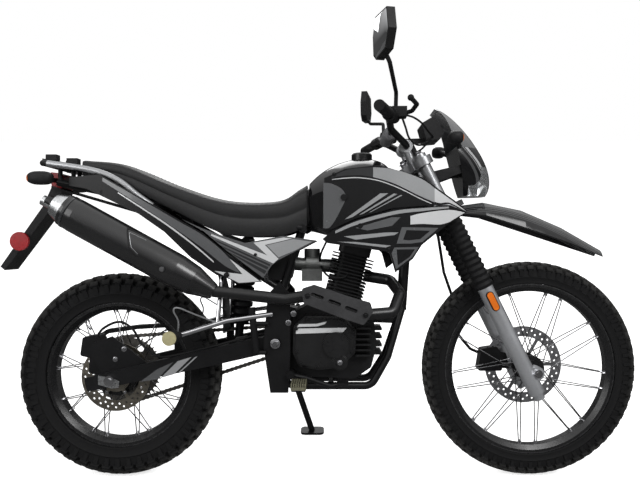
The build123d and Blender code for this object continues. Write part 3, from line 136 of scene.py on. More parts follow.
def surface(name, color, rough, metal=0.0, vary=USUAL_VARIETY, grain=0.0, grain_scale=900, coat=0.0, gloss=0.5):
    """A mottled surface: colour and roughness vary at two scales, with an optional fine grain."""
    mat, tree, bsdf = new_material(name)
    coord = object_place(tree)
    shade = calc(tree, "MULTIPLY", noise(tree, coord, 9.0), noise(tree, coord, 160.0, detail=4.0))
    low = tuple(max(0.0, c * (1 - vary)) for c in color)
    high = tuple(min(1.0, c * (1 + vary)) for c in color)
    spread = min(1.0, vary / USUAL_VARIETY)
    smooth, dull = rough * (1 - 0.15 * spread), min(1.0, rough * (1 + 0.2 * spread))
    feed(tree, bsdf, {
        "Base Color": tint(tree, ramp(tree, shade, 0.15, 0.4, 0.0, 1.0), low, high),
        "Roughness": ramp(tree, shade, 0.12, 0.42, smooth, dull),
        "Metallic": metal,
        "Specular IOR Level": gloss,
    })
    if coat:
        feed(tree, bsdf, {"Coat Weight": coat, "Coat Roughness": COAT_ROUGHNESS})
    if grain:
        feed(tree, bsdf, {"Normal": grainy(tree, coord, grain_scale, grain)})
    return mat


def brushed(name, color, rough, axle):
    """Turned metal: fine rings about a wheel's axle."""
    mat, tree, bsdf = new_material(name)
    coord = object_place(tree)
    away = vector_calc(tree, "DISTANCE", coord, axle, result="Value")
    wave = calc(tree, "SINE", calc(tree, "MULTIPLY", away, RING_DENSITY))
    both = calc(tree, "MULTIPLY_ADD", wave, 0.16, noise(tree, coord, 60.0))
    mask = ramp(tree, both, 0.2, 0.8, 0.0, 1.0)
    feed(tree, bsdf, {
        "Base Color": tint(tree, mask, tuple(c * 0.72 for c in color), color),
        "Roughness": ramp(tree, both, 0.2, 0.8, rough * 0.8, rough * 1.3),
        "Metallic": 1.0,
    })
    return mat


def clear(name, color, rough, weight):
    """Clear moulded plastic that light passes through."""
    mat, tree, bsdf = new_material(name)
    haze = noise(tree, object_place(tree), 40.0)
    feed(tree, bsdf, {
        "Base Color": (*color, 1),
        "Roughness": ramp(tree, haze, 0.3, 0.7, rough, rough * 2.5),
        "Transmission Weight": weight,
        "IOR": LENS_IOR,
    })
    return mat


def reach_from(tree, coord, axle):
    """Distance from a wheel's axle line in metres."""
    square = vector_calc(tree, "CROSS_PRODUCT", vector_calc(tree, "SUBTRACT", coord, axle), SIDEWAYS)
    return vector_calc(tree, "LENGTH", square, result="Value")


def wire_look(name, axle, hub, well, lip):
    """A wire wheel: black hub and rim, steel spokes and a bare lip, told apart by radius in millimetres."""
    mat, tree, bsdf = new_material(name)
    coord = object_place(tree)
    reach = reach_from(tree, coord, axle)
    spokes = ramp(tree, reach, hub / 1000, (hub + 1) / 1000, 0.0, 1.0)
    rim = ramp(tree, reach, (well - 1) / 1000, well / 1000, 1.0, 0.0)
    edge = ramp(tree, reach, (lip - 0.5) / 1000, (lip + 0.5) / 1000, 0.0, 1.0)
    bare = calc(tree, "MAXIMUM", calc(tree, "MULTIPLY", spokes, rim), edge)
    mottle = noise(tree, coord, 70.0)
    steel = tint(tree, mottle, (0.07, 0.07, 0.073), (0.2, 0.2, 0.205))
    feed(tree, bsdf, {
        "Base Color": mix(tree, bare, (0.007, 0.007, 0.0075, 1), steel, "RGBA"),
        "Metallic": bare,
        "Roughness": ramp(tree, mottle, 0.3, 0.7, 0.22, 0.34),
    })
    return mat


def tyre_look(name, axle, radius):
    """Dull rubber: darkest on the side walls, lighter towards the tips of the knobs, partly wear and partly a painted
    highlight.
    """
    mat, tree, bsdf = new_material(name)
    coord = object_place(tree)
    tips = ramp(tree, reach_from(tree, coord, axle), (radius - 30) / 1000, (radius - 6) / 1000, 0.0, 1.0)
    # The knob tips are lightened all round the tyre: a painted highlight, mixed with wear.
    tip_highlight_and_wear = calc(tree, "MULTIPLY", tips, ramp(tree, noise(tree, coord, 26.0), 0.3, 0.7, 0.35, 1.0))
    feed(tree, bsdf, {
        "Base Color": tint(tree, tip_highlight_and_wear, (0.006, 0.006, 0.0063), (0.05, 0.049, 0.047)),
        "Roughness": 0.72,
        "Specular IOR Level": 0.14,
        "Normal": grainy(tree, coord, 700.0, 0.45),
    })
    return mat


def profile_look(name, along, across, profile, bands, base):
    """A painted panel with stripes beside an edge: the edge is a curve, each band a depth behind it in mm."""
    mat, tree, bsdf = new_material(name)
    coord = object_place(tree)
    arm = vector_calc(tree, "SUBTRACT", coord, ORIGIN)
    far = vector_calc(tree, "DOT_PRODUCT", arm, along * 1000, result="Value")
    out = vector_calc(tree, "DOT_PRODUCT", arm, across * 1000, result="Value")
    low, high = profile[0][0], profile[-1][0]
    curve = add(tree, "FloatCurve", {"Value": ramp(tree, far, low, high, 0.0, 1.0)})
    line = curve.mapping.curves[0]
    line.points[0].location = (0, profile[0][1] / CURVE_SPAN)
    line.points[1].location = (1, profile[-1][1] / CURVE_SPAN)
    for place, edge in profile[1:-1]:
        line.points.new((place - low) / (high - low), edge / CURVE_SPAN)
    curve.mapping.update()
    depth = calc(tree, "MULTIPLY_ADD", curve.outputs["Value"], CURVE_SPAN, calc(tree, "MULTIPLY", out, -1))
    paint = add(tree, "ValToRGB", {"Fac": ramp(tree, depth, STRIPE_START, STRIPE_END, 0.0, 1.0)})
    paint.color_ramp.interpolation = "CONSTANT"
    stops = paint.color_ramp.elements
    stops[0].color = (*base, 1)
    stops[1].position = 1.0
    stops[1].color = (*base, 1)
    for begin, end, color in bands:
        for place, shade in ((begin, color), (end, base)):
            stop = stops.new((place - STRIPE_START) / (STRIPE_END - STRIPE_START))
            stop.color = (*shade, 1)
    feed(tree, bsdf, {
        "Base Color": paint.outputs["Color"],
        "Roughness": ramp(tree, noise(tree, coord, 30.0), 0.3, 0.7, 0.14, 0.24),
        "Specular IOR Level": PANEL_GLOSS,
    })
    return mat


FRAME_BLACK = surface("frame_black", (0.007, 0.007, 0.0075), 0.34, gloss=0.2)
ENGINE_BLACK = surface("engine_black", (0.008, 0.008, 0.0085), 0.44, grain=0.3, grain_scale=1300, gloss=0.2)
COVER_BLACK = surface("cover_black", (0.012, 0.012, 0.0125), 0.3, metal=0.2, grain=0.1, gloss=0.4)
PIPE_BLACK = surface("pipe_black", (0.009, 0.009, 0.0095), 0.3, metal=0.1, grain=0.1, gloss=0.45)
CAST_ALLOY = surface("cast_alloy", (0.2, 0.205, 0.2), 0.38, metal=0.9, grain=0.3, grain_scale=1100)
BARE_ALLOY = surface("bare_alloy", (0.62, 0.63, 0.64), 0.27, metal=1.0, grain=0.1)
FORK_SILVER = surface("fork_silver", (0.5, 0.51, 0.53), 0.32, metal=0.75, vary=0.06, coat=0.4)
CLAMP_GREY = surface("clamp_grey", (0.36, 0.365, 0.375), 0.34, metal=0.8, grain=0.2)
CHROME = surface("chrome", (0.74, 0.74, 0.76), 0.1, metal=1.0, vary=0.05)
BOLT_STEEL = surface("bolt_steel", (0.5, 0.5, 0.52), 0.25, metal=1.0, vary=0.2)
FRONT_DISC = brushed("front_disc_steel", (0.52, 0.52, 0.54), 0.3, at(*FRONT_AXLE))
REAR_DISC = brushed("rear_disc_steel", (0.34, 0.31, 0.26), 0.3, at(*REAR_AXLE))
CHAIN_STEEL = surface("chain_steel", (0.2, 0.19, 0.175), 0.4, metal=0.9, vary=0.3)
FRONT_RUBBER = tyre_look("front_tyre_rubber", at(*FRONT_AXLE), 350)
REAR_RUBBER = tyre_look("rear_tyre_rubber", at(*REAR_AXLE), 331)
PANEL_BLACK = surface("panel_black", (0.005, 0.005, 0.0055), 0.16, vary=0.1, gloss=0.45)
TAIL_BLACK = surface("tail_black", (0.006, 0.006, 0.0065), 0.34, vary=0.06, gloss=0.2)
MUFFLER_BLACK = surface(
    "muffler_black", (0.011, 0.011, 0.0115), 0.24, metal=0.15, vary=0.06, gloss=0.6, coat=0.25,
)
PANEL_GREY = surface("panel_grey", (0.085, 0.087, 0.09), 0.26, metal=0.2, vary=0.04, coat=0.4)
PANEL_DARK = surface("panel_dark", (0.022, 0.0225, 0.024), 0.22, metal=0.1, vary=0.05, coat=0.4)
PANEL_SILVER = surface("panel_silver", (0.27, 0.275, 0.28), 0.3, metal=0.25, vary=0.03, coat=0.4)
PANEL_PALE = surface("panel_pale", (0.5, 0.505, 0.51), 0.3, metal=0.15, vary=0.03, coat=0.4)
PLASTIC_BLACK = surface("plastic_black", (0.009, 0.009, 0.0095), 0.5, grain=0.45, grain_scale=1500, gloss=0.18)
RUBBER_BLACK = surface("rubber_black", (0.008, 0.008, 0.0085), 0.62, vary=0.25, grain=0.3, gloss=0.15)
SEAT_COVER = surface(
    "seat_cover", (0.014, 0.014, 0.0145), 0.5, vary=0.2, grain=0.7, grain_scale=1100, gloss=0.25,
)
THREAD_GREY = surface("thread_grey", (0.05, 0.05, 0.052), 0.8, vary=0.3)
PAD_GREY = surface("pad_grey", (0.1, 0.1, 0.105), 0.85, vary=0.25, grain=0.9, grain_scale=1800)
SHIELD_GREY = surface("shield_grey", (0.05, 0.05, 0.052), 0.4, metal=0.5, grain=0.25)
RED_LENS = surface("red_lens", (0.26, 0.003, 0.006), 0.2, vary=0.25, gloss=0.25)
AMBER_LENS = surface("amber_lens", (0.72, 0.16, 0.012), 0.12, vary=0.2, coat=1.0)
SCREEN_TINT = surface("screen_tint", (0.1, 0.102, 0.105), 0.12, metal=0.4, coat=0.8)
CLEAR_LENS = clear("clear_lens", (0.8, 0.82, 0.83), rough=0.04, weight=0.88)
PEG_END = surface("peg_end", (0.34, 0.31, 0.17), 0.5, vary=0.2)
PEG_RUBBER = surface("peg_rubber", (0.1, 0.095, 0.06), 0.7, vary=0.25)
MIRROR_GLASS = surface("mirror_glass", (0.85, 0.86, 0.88), 0.03, metal=1.0, vary=0.02)
FRONT_WIRE = wire_look("front_wire_wheel", at(*FRONT_AXLE), 45, 251, 274.5)
REAR_WIRE = wire_look("rear_wire_wheel", at(*REAR_AXLE), 65, 209, 232.5)

MASK_EDGE = [(880, 503), (919, 519), (963, 525), (1014, 500), (1077, 449), (1120, 434)]
MASK_BANDS = [(3, 13, (0.34, 0.345, 0.35)), (17, 20, (0.2, 0.2, 0.2)), (32, 43, (0.05, 0.051, 0.052))]
MASK_LOOK = profile_look("mask_paint", UPWARD, FORWARD, MASK_EDGE, MASK_BANDS, (0.005, 0.005, 0.0055))
FENDER_EDGE = [(420, 880), (520, 894), (645, 868), (775, 812), (905, 738)]
FENDER_BANDS = [
    (-20, 16, (0.075, 0.077, 0.078)),
    (19, 22, (0.075, 0.077, 0.078)),
    (25, 28, (0.06, 0.061, 0.062)),
    (31, 33, (0.05, 0.051, 0.052)),
]
FENDER_LOOK = profile_look("fender_paint", FORWARD, UPWARD, FENDER_EDGE, FENDER_BANDS, (0.006, 0.006, 0.0065))

NODE_LOOKS = [
    (FRAME_BLACK, "frame_spine frame_cradle seat_rails swingarm rear_shock foot_controls"),
    (FRAME_BLACK, "rear_brake side_stand handlebar front_caliper"),
    (PLASTIC_BLACK, "chain_guard airbox rear_fender rear_rack rear_signals instrument_panel"),
    (PLASTIC_BLACK, "front_signals mirrors"),
    (RUBBER_BLACK, "seat fork_boots hand_controls brake_hose"),
    (ENGINE_BLACK, "engine_case engine_cylinder"),
    (COVER_BLACK, "engine_covers fuel_cap"),
    (PANEL_BLACK, "fuel_tank tank_wings tank_shrouds"),
    (CHROME, "rear_axle passenger_pegs front_axle"),
    (CHAIN_STEEL, "drive_chain rear_sprocket"),
    (CAST_ALLOY, "carburettor"),
    (PIPE_BLACK, "exhaust_pipe"),
    (SHIELD_GREY, "heat_shield"),
    (MUFFLER_BLACK, "muffler"),
    (BARE_ALLOY, "muffler_tip"),
    (PANEL_GREY, "side_panels"),
    (TAIL_BLACK, "tail_panels"),
    (RED_LENS, "tail_lamp"),
    (CLAMP_GREY, "fork_uppers"),
    (FORK_SILVER, "fork_sliders"),
    (FENDER_LOOK, "front_fender"),
    (MASK_LOOK, "headlight_shell"),
    (CLEAR_LENS, "headlight_lens"),
    (SCREEN_TINT, "windscreen"),
    (PAD_GREY, "bar_pad"),
    (FRONT_RUBBER, "front_tyre"),
    (FRONT_WIRE, "front_rim"),
    (FRONT_DISC, "front_disc"),
    (REAR_RUBBER, "rear_tyre"),
    (REAR_WIRE, "rear_rim"),
    (REAR_DISC, "rear_disc"),
]
for look, names in NODE_LOOKS:
    for node in names.split():
        mesh = frame["nodes"][node].data
        mesh.materials.clear()
        mesh.materials.append(look)

# Building blocks for pieces, in the bike's upright millimetres


def make(name, verts, faces, look, slot, body="chassis", angle=40):
    """A mesh piece that takes its finish from look and rides on a body; slot is not used."""
    mesh = bpy.data.meshes.new(name)
    mesh.from_pydata([at(*v) for v in verts], [], faces)
    form = bmesh.new()
    form.from_mesh(mesh)
    bmesh.ops.recalc_face_normals(form, faces=form.faces)
    form.to_mesh(mesh)
    form.free()
    mesh.shade_smooth()
    mesh.set_sharp_from_angle(angle=math.radians(angle))
    mesh.materials.append(look)
    obj = bpy.data.objects.new(name, mesh)
    scene.collection.objects.link(obj)
    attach(obj, body)
    return obj


def joined(parts):
    """Several (verts, faces) forms as one."""
    verts, faces = [], []
    for more_verts, more_faces in parts:
        start = len(verts)
        verts += more_verts
        faces += [tuple(start + i for i in face) for face in more_faces]
    return verts, faces


def mirrored(form):
    """A form and its copy on the other side of the bike."""
    verts, faces = form
    return joined([form, ([(x, -y, z) for x, y, z in verts], [tuple(reversed(face)) for face in faces])])


def flow(points, steps=6):
    """A smooth open line through points of any dimension."""
    line = []
    ends = [points[0], *points, points[-1]]
    for a, b, c, d in zip(ends, ends[1:], ends[2:], ends[3:]):
        for step in range(steps):
            t = step / steps
            line.append(tuple(
                0.5 * (2 * q + (r - p) * t + (2 * p - 5 * q + 4 * r - s) * t * t
                       + (3 * q - p - 3 * r + s) * t ** 3)
                for p, q, r, s in zip(a, b, c, d)
            ))
    line.append(tuple(points[-1]))
    return line


def ring_at(place, side, up, radius, sides):
    """Evenly set points of a circle."""
    turns = [math.tau * index / sides for index in range(sides)]
    return [tuple(place + (side * math.cos(turn) + up * math.sin(turn)) * radius) for turn in turns]


def tube_faces(rings, sides, capped=True):
    """Faces between rings of equally many points, with or without the two ends."""
    faces = []
    for start in range(0, (rings - 1) * sides, sides):
        for index in range(sides):
            nxt = (index + 1) % sides
            faces.append((start + index, start + nxt, start + sides + nxt, start + sides + index))
    if capped:
        faces.append(tuple(reversed(range(sides))))
        faces.append(tuple(range((rings - 1) * sides, rings * sides)))
    return faces


def lathe(place, axis, profile, sides=24):
    """A turned form: (distance along the axis, radius) places from end to end, closed at both ends."""
    axis = Vector(axis).normalized()
    side = axis.orthogonal().normalized()
    up = axis.cross(side)
    verts = []
    for along, radius in profile:
        verts += ring_at(Vector(place) + axis * along, side, up, radius, sides)
    return verts, tube_faces(len(profile), sides)


def bar(points, radius, sides=10):
    """A round bar along a line of points, closed at both ends."""
    points = [Vector(p) for p in points]
    verts = []
    side = (points[1] - points[0]).orthogonal().normalized()
    for index, point in enumerate(points):
        ahead = (points[min(index + 1, len(points) - 1)] - points[max(index - 1, 0)]).normalized()
        side = (side - ahead * side.dot(ahead)).normalized()
        verts += ring_at(point, side, ahead.cross(side), radius, sides)
    return verts, tube_faces(len(points), sides)


def hose(route, radius):
    """A round line that runs smoothly through the places of its route."""
    return bar(flow(route, 8), radius, 8)


def slab(outline, y_low, y_high):
    """A flat plate in side view between two sideways places."""
    count = len(outline)
    verts = [(x, y, z) for y in (y_low, y_high) for x, z in outline]
    return verts, [tuple(range(count)), tuple(range(count, 2 * count)), *tube_faces(2, count, capped=False)]


def pod(place, half, power, rings=14, sides=24):
    """A rounded box: a ball drawn out to three half sizes."""
    def bulge(value):
        return math.copysign(abs(value) ** power, value)

    verts = []
    for ring in range(rings + 1):
        tip = math.pi * (ring / rings - 0.5)
        for side in range(sides):
            turn = math.tau * side / sides
            verts.append((
                place[0] + half[0] * bulge(math.cos(tip)) * bulge(math.cos(turn)),
                place[1] + half[1] * bulge(math.sin(tip)),
                place[2] + half[2] * bulge(math.cos(tip)) * bulge(math.sin(turn)),
            ))
    return verts, tube_faces(rings + 1, sides, capped=False)


RIGHT = (0, -1, 0)
LEFT = (0, 1, 0)

# Bolt heads: (height, radius) in shares of the bolt's size
FLANGE = [(0, 1.05), (0.14, 1.0), (0.2, 0.78)]
HEX_HEAD = [(0.1, 0.72), (0.62, 0.72), (0.72, 0.6)]
ROUND_HEAD = [(0, 1), (0.7, 1), (0.85, 0.86)]
HEX_SOCKET = [(0.86, 0.5), (0.88, 0.46)]


def bolt_head(place, axis, size, rounded, angular):
    forms = []
    for profile, sides in ((rounded, 24), (angular, 6)):
        forms.append(lathe(place, axis, [(along * size, radius * size) for along, radius in profile], sides))
    return joined(forms)


def hex_bolt(place, axis, size):
    """A flanged hexagon head standing on a face."""
    return bolt_head(place, axis, size, FLANGE, HEX_HEAD)


def cap_screw(place, axis, size):
    """A round socket screw with its hexagon recess."""
    return bolt_head(place, axis, size, ROUND_HEAD, HEX_SOCKET)


def bolt_circle(x, y, z, radius, axis, size, start=0.0):
    """Six bolts evenly set on a circle in side view."""
    turns = [math.tau * (index + start) / 6 for index in range(6)]
    places = [(x + radius * math.cos(turn), y, z + radius * math.sin(turn)) for turn in turns]
    return [hex_bolt(place, axis, size) for place in places]


def face_at(plan):
    """The sideways place of a panel's face at each x, on the arc through three (x, y) places."""
    (ax, ay), (bx, by), (cx, cy) = plan
    area = 2 * (ax * (by - cy) + bx * (cy - ay) + cx * (ay - by))
    a2, b2, c2 = ax * ax + ay * ay, bx * bx + by * by, cx * cx + cy * cy
    mid_x = (a2 * (by - cy) + b2 * (cy - ay) + c2 * (ay - by)) / area
    mid_y = (a2 * (cx - bx) + b2 * (ax - cx) + c2 * (bx - ax)) / area
    radius = math.hypot(ax - mid_x, ay - mid_y)
    return lambda x: mid_y + math.sqrt(max(0.0, radius * radius - (x - mid_x) ** 2))


def sheet(outline, y=0):
    """A flat sheet in side view, still to be cut."""
    form = bmesh.new()
    form.faces.new([form.verts.new((x, y, z)) for x, z in outline])
    return form


def taken(form):
    """The verts and faces of a sheet, which is given up."""
    form.verts.index_update()
    verts = [tuple(v.co) for v in form.verts]
    faces = [tuple(v.index for v in face.verts) for face in form.faces]
    form.free()
    return verts, faces


def sticker(outline, plan, lift, step=14):
    """A thin sheet cut to an outline in side view, laid on a panel's face on both sides."""
    form = sheet(outline)
    x = math.floor(min(p[0] for p in outline) / step) * step
    while x < max(p[0] for p in outline):
        x += step
        whole = [*form.verts, *form.edges, *form.faces]
        bmesh.ops.bisect_plane(form, geom=whole, plane_co=(x, 0, 0), plane_no=(1, 0, 0))
    face_y = face_at(plan)
    verts, faces = taken(form)
    return mirrored(([(x, face_y(x) + lift, z) for x, _, z in verts], faces))


def flat_sticker(outline, y):
    """A thin flat sheet in side view at a sideways place."""
    form = sheet(outline, y)
    bmesh.ops.triangulate(form, faces=form.faces)
    return taken(form)


def band(top, bottom):
    """The outline between an upper and a lower smooth line."""
    return flow(top) + list(reversed(flow(bottom)))


# Tyres: rows of knobs on a rounded carcass
# WALL: share of the way from shoulder to rim, and bulge in tyre widths; BEAD: mm out and mm off the rim
# KNOB_TOP: mm below the crown, and share of the knob's size; RIB_LEVELS: mm out at each reach, and share of the length
TYRE_TURNS = 144
CROWN_STEPS = 8
CROWN_EDGE = math.radians(60)
CROWN_SHARE = 0.5667
BEAD_SHARE = 0.36
WALL = [(0.25, 0.015), (0.45, 0.03), (0.5, 0.05), (0.56, 0.03), (0.8, 0.015)]
BEAD = [(1.6, 7), (1.6, 3), (0, 0.4)]
KNOB_TOP = [(1.4, 1.0), (0.35, 0.93), (0.0, 0.82)]
RIB_LENGTH = 0.36
RIB_REACH = (-0.06, 0.42)
RIB_LEVELS = [((-2, -2), 1.0), ((3.4, 2.55), 0.8)]


def tyre(name, node, look, body, axle, radius, width, rim_radius, pitches, depth, rows):
    """rows: angle round the crown, knob width, knob length and the share of a pitch it is set on by."""
    round_radius = CROWN_SHARE * width
    middle = radius - round_radius
    bead = BEAD_SHARE * width

    def place(turn, y, r):
        return axle.x + r * math.sin(turn), y, axle.z + r * math.cos(turn)

    def crown(lean, height):
        return (round_radius - height) * math.sin(lean), middle + (round_radius - height) * math.cos(lean)

    def wall(share):
        return shoulder_y + (bead - shoulder_y) * share, shoulder_r + (rim_radius - shoulder_r) * share

    profile = [crown(CROWN_EDGE * step / CROWN_STEPS, depth) for step in range(-CROWN_STEPS, CROWN_STEPS + 1)]
    shoulder_y, shoulder_r = profile[-1]
    side = []
    for share, bulge in WALL:
        y, r = wall(share)
        side.append((y + bulge * width, r))
    side += [(bead + out, rim_radius + rise) for out, rise in BEAD]
    profile = [(-y, r) for y, r in reversed(side)] + profile + side
    count = len(profile)
    verts = [place(math.tau * step / TYRE_TURNS, y, r) for step in range(TYRE_TURNS) for y, r in profile]
    faces = []
    for step in range(TYRE_TURNS):
        here, ahead = step * count, (step + 1) % TYRE_TURNS * count
        for index in range(count):
            nxt = (index + 1) % count
            faces.append((here + index, here + nxt, ahead + nxt, ahead + index))
    forms = [(verts, faces)]
    knob_faces = tube_faces(4, 4, capped=False) + [(12, 13, 14, 15)]
    for lean, wide, long, offset in rows:
        for knob in range(pitches):
            turn = math.tau * (knob + offset) / pitches
            knob_verts = []
            for height, share in [(depth + 2.5, 1.16), *KNOB_TOP]:
                half_turn = share * long / 2 / radius
                half_lean = share * wide / 2 / round_radius
                for s, t in ((-1, -1), (1, -1), (1, 1), (-1, 1)):
                    spot = crown(math.radians(lean) + t * half_lean, height)
                    knob_verts.append(place(turn + s * half_turn, *spot))
            forms.append((knob_verts, knob_faces))
    long, offset = rows[-1][2:]
    rib_faces = tube_faces(2, 4, capped=False) + [(4, 5, 6, 7)]
    for knob in range(pitches):
        turn = math.tau * (knob + offset) / pitches
        half = RIB_LENGTH * long / radius
        for sign in (-1, 1):
            rib = []
            for heights, share in RIB_LEVELS:
                for s, end in ((-1, 0), (-1, 1), (1, 1), (1, 0)):
                    y, r = wall(RIB_REACH[end])
                    rib.append(place(turn + s * half * share, sign * (y + 0.02 * width + heights[end]), r))
            forms.append((rib, rib_faces))
    obj = make(name, *joined(forms), look, "tyre_rubber", body, angle=28)
    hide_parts(node)


tyre("front_tyre_knobs", "front_tyre", FRONT_RUBBER, "front_wheel", FRONT_AXLE, 350, 84, 278, 66, 11, [
    (0, 22, 19, 0.0), (-25, 15, 20, 0.5), (25, 15, 20, 0.5), (-50, 16, 21, 0.0), (50, 16, 21, 0.0),
])
tyre("rear_tyre_knobs", "rear_tyre", REAR_RUBBER, "rear_wheel", REAR_AXLE, 331, 112, 236, 50, 12, [
    (0, 30, 25, 0.0), (-27, 19, 26, 0.5), (27, 19, 26, 0.5), (-51, 19, 28, 0.0), (51, 19, 28, 0.0),
])

# Seat: a crowned, sewn cover over the seat's own sections (place, top, edge, skirt, half-width)
SEAT_SECTIONS = [
    (-771, 1027, 1012, 978, 84),
    (-752, 1026, 1008, 972, 90),
    (-634, 1011, 990, 944, 104),
    (-471, 946, 924, 862, 122),
    (-308, 897, 872, 788, 128),
    (-150, 896, 868, 782, 108),
    (-80, 935, 892, 802, 88),
    (-56, 950, 905, 812, 82),
]
SKIRT = [(0.0, 0.955), (0.08, 0.975), (0.35, 0.985), (0.62, 0.98), (0.66, 0.965), (0.7, 0.98), (0.9, 0.985)]
CROWN_WIDTH = 0.985
CROWN_FULLNESS = 0.62
SHOULDERS = (9, 21)


def seat_ring(x, top, edge, skirt, half, pull):
    """One cross-section, from the right skirt over the crown to the left skirt, then back underneath."""
    ring = [(x, -half * out * pull, skirt + (edge - skirt) * rise) for rise, out in SKIRT]
    for step in range(1, 24):
        turn = math.pi * step / 24
        y = -half * CROWN_WIDTH * pull * math.copysign(abs(math.cos(turn)) ** CROWN_FULLNESS, math.cos(turn))
        z = edge - 3 + (top - edge + 3) * math.sin(turn) ** CROWN_FULLNESS * pull
        ring.append((x, y, z))
    ring += [(px, -py, pz) for px, py, pz in reversed(ring[:len(SKIRT)])]
    inside = half * SKIRT[0][1] * pull - 7
    for y, z in ((inside, skirt + 3), (inside - 4, edge - 16), (-inside + 4, edge - 16), (-inside, skirt + 3)):
        ring.append((x, y, z))
    return ring


def seat_end(station, way, reach, drop, steps):
    """The rings that round off one end of the seat."""
    x, top, edge, skirt, half = station
    rings = []
    for shrink, pull in steps:
        heights = top - shrink * drop, edge - shrink * 0.8, skirt + shrink * 0.5
        rings.append(seat_ring(x - way * reach + way * shrink, *heights, half, pull))
    return rings


stations = flow(SEAT_SECTIONS, 9)
rings = seat_end(stations[0], -1, 9, 1.4, ((9, 0.72), (6, 0.88), (3, 0.96)))
rings += [seat_ring(*station, 1.0) for station in stations[1:-1]]
rings += seat_end(stations[-1], 1, 8, 1.2, ((2, 0.97), (5, 0.9), (8, 0.78)))
cushion = [spot for ring in rings for spot in ring], tube_faces(len(rings), len(rings[0]))
seat = make("seat_cushion", *cushion, SEAT_COVER, "seat_cover", angle=60)
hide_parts("seat")

# Sewn lines along the seat's shoulders
stitches = []
for shoulder in SHOULDERS:
    line = flow([ring[shoulder] for ring in rings[3:-3]], 3)
    for start in range(0, len(line) - 2, 2):
        a, b = Vector(line[start]), Vector(line[start + 1])
        lift = Vector((0, math.copysign(0.6, a.y), 0.9))
        stitches.append(bar([a + lift, a + (b - a) * 0.75 + lift], 0.8, 6))
make("seat_stitching", *joined(stitches), THREAD_GREY, "seat_cover")

# Plain stripes on the body panels, both sides
WING_PLAN = [(-30, 132), (200, 160), (450, 153)]
SHROUD_PLAN = [(-30, 148), (200, 176), (450, 158)]
COVER_PLAN = [(-450, 141), (-240, 147), (0, 142)]
TAIL_PLAN = [(-810, 112), (-500, 146), (-180, 146)]
# Height over the panel of stripes that lie under or over others
UNDER, OVER = 0.5, 0.9

